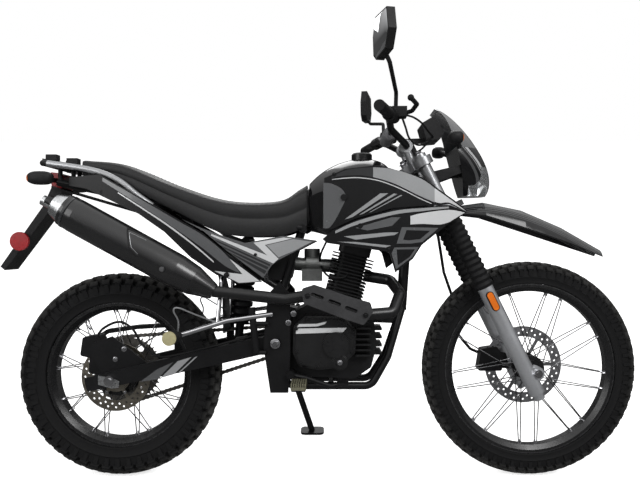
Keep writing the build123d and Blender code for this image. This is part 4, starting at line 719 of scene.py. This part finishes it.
STRIPES = {
    "wing_crest": (PANEL_SILVER, UNDER, WING_PLAN, [
        band([(150, 992), (200, 988), (252, 974), (303, 953), (338, 928)],
             [(150, 962), (190, 951), (230, 935), (290, 905), (338, 884)]),
    ]),
    "wing_crest_rear": (PANEL_DARK, UNDER, WING_PLAN, [
        band([(22, 964), (63, 983), (105, 990), (150, 992)], [(22, 962), (60, 967), (109, 968), (150, 962)]),
    ]),
    "wing_tip": (PANEL_PALE, UNDER, WING_PLAN, [
        band([(338, 928), (352, 918), (400, 884), (434, 859)],
             [(338, 886), (356, 882), (384, 883), (434, 858)]),
    ]),
    "wing_pinstripe": (PANEL_PALE, UNDER, WING_PLAN, [
        band([(24, 957), (60, 961), (109, 962), (169, 952), (230, 929), (290, 899), (330, 881)],
             [(24, 955), (60, 958), (109, 959), (169, 949), (230, 926), (290, 896), (326, 880)]),
    ]),
    "wing_panel": (PANEL_GREY, UNDER, WING_PLAN, [
        band([(-3, 946), (20, 944), (52, 928), (70, 902)], [(-3, 806), (16, 808), (38, 838), (70, 902)]),
    ]),
    "wing_slash": (PANEL_SILVER, OVER, WING_PLAN, [
        [(62, 832), (88, 840), (196, 912), (172, 912)],
        [(106, 846), (120, 850), (224, 910), (212, 911)],
        [(136, 853), (143, 855), (240, 906), (234, 907)],
    ]),
    "shroud_edge": (PANEL_SILVER, UNDER, SHROUD_PLAN, [
        band([(34, 797), (98, 826), (212, 857), (300, 866), (380, 871)],
             [(34, 789), (98, 815), (212, 846), (300, 857), (380, 866)]),
    ]),
    "shroud_nose": (PANEL_PALE, UNDER, SHROUD_PLAN, [
        band([(262, 842), (300, 851), (380, 861), (430, 853)],
             [(262, 816), (300, 818), (352, 816), (382, 824)]),
    ]),
    "shroud_patch": (PANEL_GREY, UNDER, SHROUD_PLAN, [
        [(236, 808), (348, 806), (328, 788), (298, 763), (262, 758), (220, 758)],
        [(213, 746), (288, 748), (268, 718), (218, 680), (205, 728)],
        [(96, 806), (206, 838), (232, 838), (206, 812), (132, 798)],
    ]),
    "shroud_inset": (PANEL_BLACK, OVER, SHROUD_PLAN, [
        [(250, 799), (322, 797), (292, 772), (256, 768), (240, 770)],
        [(220, 740), (276, 741), (260, 718), (224, 693)],
    ]),
    "shroud_wedge": (PANEL_SILVER, UNDER, SHROUD_PLAN, [
        [(60, 780), (190, 792), (226, 792), (214, 784), (96, 770)],
        [(40, 764), (186, 746), (204, 752), (96, 763)],
    ]),
    "cover_zigzag": (PANEL_PALE, OVER, COVER_PLAN, [
        [(-218, 761), (-125, 777), (-98, 774), (-183, 754), (-141, 711),
         (-157, 697), (-350, 783), (-348, 788), (-176, 722)],
    ]),
    "cover_front": (PANEL_SILVER, UNDER, COVER_PLAN, [
        [(-178, 753), (-96, 772), (-38, 764), (-90, 737), (-141, 716)],
    ]),
    "cover_bars": (PANEL_DARK, UNDER, COVER_PLAN, [
        [(-338, 771), (-166, 694), (-168, 688), (-330, 763)],
        [(-318, 752), (-172, 686), (-176, 678), (-306, 742)],
        [(-292, 732), (-178, 674), (-184, 664), (-276, 720)],
    ]),
    "tail_band": (PANEL_GREY, UNDER, TAIL_PLAN, [
        band([(-690, 964), (-600, 914), (-510, 862), (-444, 824), (-374, 784), (-306, 728), (-262, 672)],
             [(-690, 952), (-600, 896), (-510, 838), (-444, 794), (-374, 744), (-306, 690), (-262, 668)]),
    ]),
    "tail_line": (PANEL_PALE, OVER, TAIL_PLAN, [
        band([(-640, 918), (-560, 868), (-480, 816), (-400, 756), (-340, 704)],
             [(-640, 914), (-560, 863), (-480, 810), (-400, 750), (-340, 699)]),
    ]),
    "tail_wedge": (PANEL_PALE, OVER, TAIL_PLAN, [
        [(-338, 674), (-252, 664), (-292, 712), (-198, 642), (-262, 637), (-298, 655)],
    ]),
}
for name, (look, lift, plan, outlines) in STRIPES.items():
    slot = "black_gloss" if look is PANEL_BLACK else "grey_gloss"
    make(name, *joined([sticker(outline, plan, lift) for outline in outlines]), look, slot)

ARM_FACE = 119.5
arm = [
    flat_sticker([(-458, 391), (-415, 404), (-470, 350), (-512, 338)], -ARM_FACE),
    flat_sticker([(-404, 404), (-396, 406), (-452, 354), (-460, 352)], -ARM_FACE),
]
make("arm_stripes", *joined([mirrored(form) for form in arm]), PANEL_SILVER, "grey_gloss")
patch = flat_sticker([(-522, 366), (-472, 388), (-522, 334), (-576, 326), (-560, 338)], -ARM_FACE)
make("arm_patch", *mirrored(patch), PANEL_GREY, "grey_gloss")
COVER_FACE = -146.5
make("cover_bright_bars", *joined([
    flat_sticker([(-86, 496), (70, 499), (57, 485), (-88, 480)], COVER_FACE),
    flat_sticker([(-78, 510), (-24, 511), (8, 518), (2, 510), (-20, 503), (-84, 501)], COVER_FACE),
]), PANEL_PALE, "bare_alloy")

# Bolts and screws on the chassis
COVER_BOLTS = [
    (-86, 424), (-72, 386), (-20, 376), (46, 382), (86, 424), (90, 484), (58, 522), (-54, 524), (-86, 496),
]
SHIELD_FACE = -194
SHIELD_SCREWS = [(125, 543), (-50, 601)]
FRAME_FACE = 129.5
FRAME_BOLTS = [(-104, 352), (-112, 512), (-96, 540)]
PANEL_SCREWS = [
    (WING_PLAN, 30, 972, 6), (COVER_PLAN, -212, 724, 5), (TAIL_PLAN, -300, 662, 8), (SHROUD_PLAN, 196, 742, 5),
]
screws = [cap_screw((x, COVER_FACE + 0.5, z), RIGHT, 5.5) for x, z in COVER_BOLTS]
screws += [cap_screw((x, SHIELD_FACE, z), RIGHT, 8) for x, z in SHIELD_SCREWS]
hexes = bolt_circle(66, 112, 446, 62, LEFT, 6, start=0.5)
for side in (-1, 1):
    out = (0, side, 0)
    hexes.append(hex_bolt((-152, side * 138, 448), out, 15))
    hexes += [hex_bolt((x, side * FRAME_FACE, z), out, 9) for x, z in FRAME_BOLTS]
    screws += [cap_screw((x, side * face_at(plan)(x), z), out, size) for plan, x, z, size in PANEL_SCREWS]
make("chassis_bolts", *joined(hexes), BOLT_STEEL, "bright_steel")
make("chassis_screws", *joined(screws), FRAME_BLACK, "frame_paint")

# Rear axle adjusters on the swing arm
ADJUSTER = [(-706, 346), (-660, 338), (-640, 328), (-642, 308), (-664, 306), (-706, 318)]
adjusters = []
for side in (-1, 1):
    adjusters.append(slab(ADJUSTER, side * 118, side * 122.6))
    adjusters.append(bar([(-706, side * 112, 322), (-740, side * 112, 315)], 3.2))
    adjusters.append(lathe((-722, side * 112, 318.4), (-1, 0, -0.2), [(0, 6.5), (6, 6.5)], 6))
make("axle_adjusters", *joined(adjusters), BARE_ALLOY, "bare_alloy")

# Chain: links, rollers and the front sprocket
CHAIN_Y = 68
CHAIN_PITCH = 15.875
REAR_PITCH, FRONT_PITCH = 111.2, 38.2
FRONT_HUB = Vector((-84, 446))
REAR_HUB = REAR_AXLE.xz
ARC_STEPS = 180
SPROCKET_TEETH = 15
TOOTH = [(-0.3, 34.5), (-0.16, 40.5), (0.16, 40.5), (0.3, 34.5)]


def pitch_arc(hub, radius, start, sweep):
    """Places evenly along a sprocket's pitch circle."""
    turns = [start + sweep * step / ARC_STEPS for step in range(ARC_STEPS + 1)]
    return [hub + radius * Vector((math.cos(turn), math.sin(turn))) for turn in turns]


def chain_path():
    """The pitch line round both sprockets, as evenly set pins."""
    gap = FRONT_HUB - REAR_HUB
    base = math.atan2(gap.y, gap.x)
    open_angle = math.acos((REAR_PITCH - FRONT_PITCH) / gap.length)
    points = pitch_arc(REAR_HUB, REAR_PITCH, base + open_angle, math.tau - 2 * open_angle)
    points += pitch_arc(FRONT_HUB, FRONT_PITCH, base - open_angle, 2 * open_angle)
    points.append(points[0])
    runs = [(b - a).length for a, b in zip(points, points[1:])]
    count = 2 * round(sum(runs) / CHAIN_PITCH / 2)
    pitch = sum(runs) / count
    pins, walked, index = [], 0.0, 0
    for pin in range(count):
        target = pin * pitch
        while walked + runs[index] < target:
            walked += runs[index]
            index += 1
        share = (target - walked) / runs[index]
        pins.append(points[index].lerp(points[index + 1], share))
    return pins


def link_plate(a, b, y_low, y_high, fat=6.3):
    """One figure-of-eight side plate between two pins."""
    along = (b - a).normalized()
    across = Vector((-along.y, along.x))
    middle, waist = (a + b) / 2, across * fat * 0.72

    def end(pin, start):
        turns = [start + math.pi * step / 6 for step in range(7)]
        return [pin + fat * (along * math.cos(turn) + across * math.sin(turn)) for turn in turns]

    outline = [*end(a, math.pi / 2), middle - waist, *end(b, -math.pi / 2), middle + waist]
    return slab(outline, y_low, y_high)


pins = chain_path()
chain_forms = []
for index, pin in enumerate(pins):
    nxt = pins[(index + 1) % len(pins)]
    inside, outside = (3.7, 5.6) if index % 2 else (5.8, 7.4)
    for side in (-1, 1):
        chain_forms.append(link_plate(pin, nxt, *sorted((CHAIN_Y + side * inside, CHAIN_Y + side * outside))))
    chain_forms.append(lathe((pin.x, CHAIN_Y - 8.2, pin.y), LEFT, [(0, 2.4), (16.4, 2.4)], 8))
    chain_forms.append(lathe((pin.x, CHAIN_Y - 3.6, pin.y), LEFT, [(0, 4.6), (7.2, 4.6)], 10))
teeth = []
for index in range(SPROCKET_TEETH):
    for share, reach in TOOTH:
        turn = math.tau * (index + share) / SPROCKET_TEETH
        teeth.append((FRONT_HUB.x + reach * math.cos(turn), FRONT_HUB.y + reach * math.sin(turn)))
chain_forms.append(slab(teeth, CHAIN_Y - 3, CHAIN_Y + 3))
chain_forms.append(lathe((FRONT_HUB.x, 56.4, FRONT_HUB.y), LEFT, [(0, 14), (14, 14), (17, 12)], 24))
chain = make("chain_links", *joined(chain_forms), CHAIN_STEEL, "bright_steel", angle=30)
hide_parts("drive_chain")

# Bolts that turn with the wheels
front_bolts = bolt_circle(FRONT_AXLE.x, 54.3, FRONT_AXLE.z, 38, LEFT, 5)
make("front_disc_bolts", *joined(front_bolts), BOLT_STEEL, "bright_steel", "front_wheel")
rear_bolts = bolt_circle(REAR_AXLE.x, -64.3, REAR_AXLE.z, 58, RIGHT, 5)
rear_bolts += bolt_circle(REAR_AXLE.x, 71, REAR_AXLE.z, 54, LEFT, 6)
make("rear_wheel_bolts", *joined(rear_bolts), BOLT_STEEL, "bright_steel", "rear_wheel")

VALVE_TURN = 2.2
VALVE = [(0, 2.6), (2, 3.6), (12, 3.6), (13, 2.6), (36, 2.9)]


def nipples(name, axle, well, width, count, swing, body):
    """Spoke nipples where the spokes meet the rim, and the valve."""
    forms = []
    for side in (-1, 1):
        for index in range(count):
            lead = 1 if index % 2 else -1
            turn = math.radians(index * 360 / count + lead * swing)
            out = Vector((math.cos(turn), 0, math.sin(turn)))
            place = axle + out * (well - 9) + Vector((0, side * 0.18 * width, 0))
            forms.append(lathe(place, out, [(0, 2.2), (2, 3.0), (10, 3.4)], 8))
    stem = Vector((math.cos(VALVE_TURN), 0, math.sin(VALVE_TURN)))
    forms.append(lathe(axle + stem * (well - 34), stem, VALVE, 12))
    make(name, *joined(forms), BOLT_STEEL, "bright_steel", body)


nipples("front_nipples", FRONT_AXLE, 252, 52, 18, 44, "front_wheel")
nipples("rear_nipples", REAR_AXLE, 210, 64, 18, 36, "rear_wheel")

# Mirror glasses on the rearward faces
MIRROR_FACE = [(-66, -40), (-40, -58), (46, -52), (74, -8), (58, 50), (-48, 58), (-72, 12)]
MIRROR_PLACE = Vector((160, 462, 1303))
MIRROR_YAW = math.radians(12)
across = Vector((math.sin(MIRROR_YAW), math.cos(MIRROR_YAW), 0))
rearward = Vector((-math.cos(MIRROR_YAW), math.sin(MIRROR_YAW), 0))
glass = []
for shrink, depth in ((0.93, 11.2), (0.9, 12.4)):
    for u, v in MIRROR_FACE:
        spot = MIRROR_PLACE + across * (u * shrink) + Vector((0, 0, v * shrink)) + rearward * depth
        glass.append(tuple(spot))
count = len(MIRROR_FACE)
faces = [tuple(range(count, 2 * count)), *tube_faces(2, count, capped=False)]
make("mirror_glasses", *mirrored((glass, faces)), MIRROR_GLASS, "bright_steel", "steering")

# Passenger peg rubbers with pale ends
PEG_RIB = [(0, 19.5), (2.6, 21.5), (3.4, 21.5), (5.2, 19.5)]
PEG_RIBS = [(step * 5.4 + reach, radius) for step in range(14) for reach, radius in PEG_RIB]
PEG_CAP = [(0, 20.5), (2.5, 21.5), (4.5, 20.5), (5.2, 10)]
pegs = []
ends = []
for side in (-1, 1):
    start = Vector((-456, side * 158, 473))
    along = Vector((0, side * 96, 6)).normalized()
    pegs.append(lathe(start, along, PEG_RIBS, 28))
    ends.append(lathe(start + along * 75.6, along, PEG_CAP, 28))
make("peg_rubbers", *joined(pegs), RUBBER_BLACK, "black_rubber")
make("peg_ends", *joined(ends), PEG_END, "grey_pad")

# Headlight reflector and bulb inside the lens
BOWL = [(0, 6), (3, 18), (10, 32), (22, 43), (23, 41)]
BULB = [(0, 7), (16, 7), (22, 5), (24, 2)]
make("headlight_bowl", *lathe((470, 0, 960), (1, 0, 0), BOWL, 40), CHROME, "bright_steel", "steering")
make("headlight_bulb", *lathe((474, 0, 960), (1, 0, 0), BULB, 20), PANEL_PALE, "clear_lens", "steering")

# Rear brake carrier over the disc, with its bolts
CARRIER = [
    (-748, 428), (-726, 447), (-704, 453), (-670, 466), (-642, 447), (-560, 384), (-627, 362), (-701, 350),
]
make("brake_carrier", *slab(CARRIER, -105, -96), FRAME_BLACK, "frame_paint")
carrier_bolts = [hex_bolt((x, -105, z), RIGHT, 8) for x, z in ((-630, 426), (-658, 394))]
make("carrier_bolts", *joined(carrier_bolts), BOLT_STEEL, "bright_steel")

# Rounded signal lamps with their stalks
SIGNAL_POWER = 0.72
SIGNALS = {
    "rear": ("chassis", (-873, 150, 960), (39, 25, 21), [(-866, 46.5, 962), (-873, 132, 960)], 8, -1),
    "front": ("steering", (402, 164, 1082), (23, 31, 20), [(424, 104, 1065), (402, 146, 1082)], 9, 1),
}
for end, (body, place, half, stalk, thick, facing) in SIGNALS.items():
    shells = mirrored(joined([pod(place, half, SIGNAL_POWER), bar(stalk, thick, 14)]))
    shell = make(end + "_signal_shells", *shells, PLASTIC_BLACK, "black_plastic", body)
    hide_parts(end + "_signals")
    lens_place = (place[0] + facing * half[0] * 0.35, place[1], place[2])
    lens = pod(lens_place, (half[0] * 0.71, half[1] * 0.8, half[2] * 0.8), SIGNAL_POWER)
    make(end + "_signal_lenses", *mirrored(lens), AMBER_LENS, "red_lens", body)

# Rack rails, bright over the black plate
RACK_RAIL = [(-540, 112, 876), (-589, 115, 912), (-645, 115, 955), (-723, 115, 986), (-868, 112.6, 1009.4)]
rail = mirrored(bar(flow(RACK_RAIL, 6), 10.8, 14))
make("rack_rails", *rail, CLAMP_GREY, "bare_alloy")

# Muffler: outlet pipe, seam, bolt, and the slit, drawn as a black bar of painted shade beside a bright edge
MUFFLER_START = Vector((-338, -160, 611))
MUFFLER_ALONG = (Vector((-813, -160, 872)) - MUFFLER_START).normalized()
OUTLET = [(0, 18), (34, 18), (34, 14), (4, 14)]
SEAM = [(0, 50.6), (1.5, 52.4), (8, 52.4), (9.5, 50.6)]
outlet = lathe(MUFFLER_START + MUFFLER_ALONG * 548, MUFFLER_ALONG, OUTLET, 28)
make("muffler_outlet", *outlet, PIPE_BLACK, "black_gloss")
seam = lathe(MUFFLER_START + MUFFLER_ALONG * 500, MUFFLER_ALONG, SEAM, 48)
make("muffler_seam", *seam, PANEL_DARK, "black_gloss")
make("muffler_bolt", *cap_screw((-484, -206.5, 681), (0, -1, 0.12), 8), SHIELD_GREY, "frame_paint")
MUFFLER_RADIUS = 53
MUFFLER_FLATNESS = 0.94


def on_muffler(corners, steps=6):
    """Places on the muffler's right face along a line of (x, z) corners."""
    places = []
    for (ax, az), (bx, bz) in zip(corners, corners[1:]):
        for step in range(steps + 1):
            part = step / steps
            place = Vector((ax + (bx - ax) * part, MUFFLER_START.y, az + (bz - az) * part))
            reach = place - MUFFLER_START
            off = (reach - MUFFLER_ALONG * reach.dot(MUFFLER_ALONG)).length
            place.y -= MUFFLER_FLATNESS * math.sqrt(max(0.0, MUFFLER_RADIUS ** 2 - off ** 2))
            if step or not places:
                places.append(place)
    return places


# The slit is not cut: a raised black bar along it is painted shade for the dark inside of the opening.
SLIT = [[(-594, 804), (-526, 772)], [(-594, 804), (-580, 744), (-558, 722)]]
slit_shade = joined([bar(on_muffler(line), 2.4, 8) for line in SLIT])
make("muffler_slit_shade", *slit_shade, PLASTIC_BLACK, "black_plastic")
SLIT_EDGE = [[(-586, 792), (-536, 768)], [(-586, 792), (-575, 746), (-556, 727)]]
slit_edge = joined([bar(on_muffler(line), 0.9, 6) for line in SLIT_EDGE])
make("muffler_slit_edge", *slit_edge, CLAMP_GREY, "bright_steel")

# Amber side reflectors on the fork legs
STEER_UP = Vector((-0.4431, 0, 0.8965))
STEER_AHEAD = Vector((0.8965, 0, 0.4431))
REFLECTOR_PLACE = Vector((527, 0, 578))
reflectors = []
holders = []
for side in (-1, 1):
    for reach, width, near, far, store in ((30, 9.5, 117, 123.5, reflectors), (33, 12.5, 110, 120, holders)):
        ring = []
        for step in range(24):
            turn = math.tau * step / 24
            rise = math.copysign(reach - width, math.sin(turn)) + width * math.sin(turn)
            spot = REFLECTOR_PLACE + STEER_UP * rise + STEER_AHEAD * (width * math.cos(turn))
            ring.append((spot.x, spot.z))
        store.append(slab(ring, *sorted((side * near, side * far))))
make("fork_reflectors", *joined(reflectors), AMBER_LENS, "red_lens", "steering")
make("fork_reflector_holders", *joined(holders), PLASTIC_BLACK, "black_plastic", "steering")

# Fork caps and the steering stem nut
STEER_FOOT = Vector((609.04, 0, 319.87))
FORK_TOP = 782
caps = []
for y in (-92, 92):
    top = STEER_FOOT + STEER_AHEAD * 42 + STEER_UP * FORK_TOP + Vector((0, y, 0))
    caps.append(hex_bolt(top, STEER_UP, 14))
caps.append(hex_bolt(STEER_FOOT + STEER_UP * FORK_TOP, STEER_UP, 17))
make("fork_caps", *joined(caps), BOLT_STEEL, "bright_steel", "steering")

# Foam pad on the crossbar, in its cover
PAD_END = [(0, 9), (1, 16), (5, 20.5), (12, 22), (60, 22.4)]
PAD_LENGTH = 176
PAD_PROFILE = [*PAD_END, (88, 22.6), *((PAD_LENGTH - along, radius) for along, radius in reversed(PAD_END))]
cover = lathe((209, -88, 1109), LEFT, PAD_PROFILE, 40)
pad = make("bar_pad_cover", *cover, PAD_GREY, "grey_pad", "steering", angle=70)
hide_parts("bar_pad")

# Seat tongue that closes the gap behind the tank
make("seat_tongue", *pod((-56, 0, 874), (14, 68, 62), 0.35), PLASTIC_BLACK, "black_plastic")

# Control cables from the lever perches to the instrument panel
CABLES = [
    [(236, -216, 1142), (268, -200, 1137), (300, -160, 1126),
     (326, -112, 1110), (344, -74, 1102), (350, -50, 1104)],
    [(232, -218, 1134), (246, -190, 1108), (262, -150, 1082),
     (292, -110, 1068), (324, -80, 1078), (346, -50, 1098)],
]
cables = mirrored(joined([hose(route, 3.2) for route in CABLES]))
make("bar_cables", *cables, RUBBER_BLACK, "black_rubber", "steering")

# Fuel line from the tank, and the breather line between carburettor and cylinder head
LINES = [
    [(20, -30, 800), (4, -46, 762), (-12, -42, 726), (-16, -12, 700)],
    [(-14, -10, 690), (1, -58, 664), (24, -72, 650), (65, -68, 652), (92, -30, 688)],
]
make("engine_lines", *joined([hose(route, 3.4) for route in LINES]), RUBBER_BLACK, "black_rubber")

# Rear brake hose, over the caliper's carrier and along the top of the swing arm
REAR_HOSE = [
    (-716, -112, 462), (-690, -118, 494), (-640, -122, 514), (-598, -122, 491),
    (-566, -118, 438), (-517, -112, 404), (-454, -112, 411), (-364, -112, 432),
    (-290, -112, 452), (-220, -112, 470), (-164, -112, 482),
]
make("rear_brake_hose", *hose(REAR_HOSE, 4), RUBBER_BLACK, "black_rubber")

# Oil cap, its bolt and case ribs beside the right cover
OIL_CAP = [(0, 25), (3, 25), (4, 21), (6, 21), (6.5, 12), (9, 11), (9.5, 5)]
make("oil_cap", *lathe((48, COVER_FACE + 2, 392), RIGHT, OIL_CAP, 28), COVER_BLACK, "engine_paint")
make("oil_cap_bolt", *hex_bolt((48, COVER_FACE - 7.5, 392), RIGHT, 8), BOLT_STEEL, "bright_steel")
ribs = []
for step in range(6):
    z = 408 + step * 17
    ribs.append(slab([(98, z - 3), (146, z - 3), (146, z + 3), (98, z + 3)], -121, -90))
make("case_ribs", *joined(ribs), ENGINE_BLACK, "engine_paint")

# Foot peg rubbers and the wire loops by the passenger pegs
treads = []
for side in (-1, 1):
    for step in range(7):
        x = -98 + step * 6.8
        tread = [(x, 327), (x + 4.2, 327), (x + 4.2, 344), (x, 344)]
        treads.append(slab(tread, *sorted((side * 158, side * 236))))
    treads.append(slab([(-98, 325), (-53, 325), (-53, 334), (-98, 334)], *sorted((side * 156, side * 238))))
make("foot_rubbers", *joined(treads), PEG_RUBBER, "black_rubber")
LOOP = [
    (-446, -176, 484), (-440, -190, 524), (-452, -198, 556),
    (-438, -198, 565), (-392, -176, 543), (-332, -143, 514),
]
make("heel_loops", *mirrored(hose(LOOP, 2.6)), CLAMP_GREY, "bright_steel")

# Camera: square to the leaning bike's side, as the photograph is
CAMERA_PLACE = (26.9, -2150, 753.8)
PHOTO_WIDTH = 640
PHOTO_HEIGHT = 477
PRINCIPAL_POINT = (333, 245)
MM_PER_PIXEL = 3.308

camera = bpy.data.objects.new("camera", bpy.data.cameras.new("camera"))
scene.collection.objects.link(camera)
upright = Matrix.Rotation(math.radians(90), 4, "X")
camera.matrix_world = Matrix.Translation(at(*CAMERA_PLACE)) @ TURN.to_4x4() @ upright
camera.data.sensor_fit = "HORIZONTAL"
camera.data.angle = 2 * math.atan(PHOTO_WIDTH * MM_PER_PIXEL / 2 / -CAMERA_PLACE[1])
camera.data.shift_x = (PHOTO_WIDTH / 2 - PRINCIPAL_POINT[0]) / PHOTO_WIDTH
camera.data.shift_y = (PRINCIPAL_POINT[1] - PHOTO_HEIGHT / 2) / PHOTO_WIDTH
camera.data.clip_end = 100
scene.camera = camera

# Floor, backdrop and light: white where the camera sees it, darker in reflections so that black stays black
FLOOR_SHADE = (0.86, 0.86, 0.86)
FLOOR_MIRRORED = (0.1, 0.1, 0.1)
FLOOR_GLOW = 0.7
SKY_SEEN, SKY_UNSEEN = 1.0, 0.5
SKY_HEIGHTS, SKY_MIRRORED = (0.1, 0.75), (0.06, 1.1)
bpy.ops.mesh.primitive_plane_add(size=60)
floor = bpy.context.object
floor.name = "floor"
floor_mat, tree, bsdf = new_material("floor_pale")
rays = add(tree, "LightPath", {}).outputs
feed(tree, bsdf, {
    "Base Color": tint(tree, rays["Is Glossy Ray"], FLOOR_SHADE, FLOOR_MIRRORED),
    "Roughness": 0.9,
    "Emission Color": (1, 1, 1, 1),
    "Emission Strength": calc(tree, "MULTIPLY", rays["Is Camera Ray"], FLOOR_GLOW),
})
floor.data.materials.append(floor_mat)

world = bpy.data.worlds.new("studio")
world.use_nodes = True
scene.world = world
tree = world.node_tree
rays = add(tree, "LightPath", {}).outputs
seen = calc(tree, "MAXIMUM", rays["Is Camera Ray"], rays["Is Transmission Ray"])
height = add(tree, "SeparateXYZ", {"Vector": add(tree, "TexCoord", {}).outputs["Generated"]}).outputs["Z"]
mirrored_sky = ramp(tree, height, *SKY_HEIGHTS, *SKY_MIRRORED)
unseen = mix(tree, rays["Is Glossy Ray"], SKY_UNSEEN, mirrored_sky)
strength = mix(tree, seen, unseen, SKY_SEEN)
feed(tree, tree.nodes["Background"], {"Color": (1, 1, 1, 1), "Strength": strength})

LAMPS = [
    ("key_lamp", (1.6, -2.6, 3.4), 1.8, 90),
    ("fill_lamp", (-2.6, -2.2, 2.2), 2.0, 45),
    ("back_lamp", (0.2, 3.0, 3.0), 2.4, 70),
]
for name, place, size, power in LAMPS:
    lamp = bpy.data.objects.new(name, bpy.data.lights.new(name, "AREA"))
    lamp.data.size = size
    lamp.data.energy = power
    lamp.location = place
    lamp.rotation_euler = (Vector((0, 0, 0.5)) - Vector(place)).to_track_quat("-Z", "Y").to_euler()
    scene.collection.objects.link(lamp)
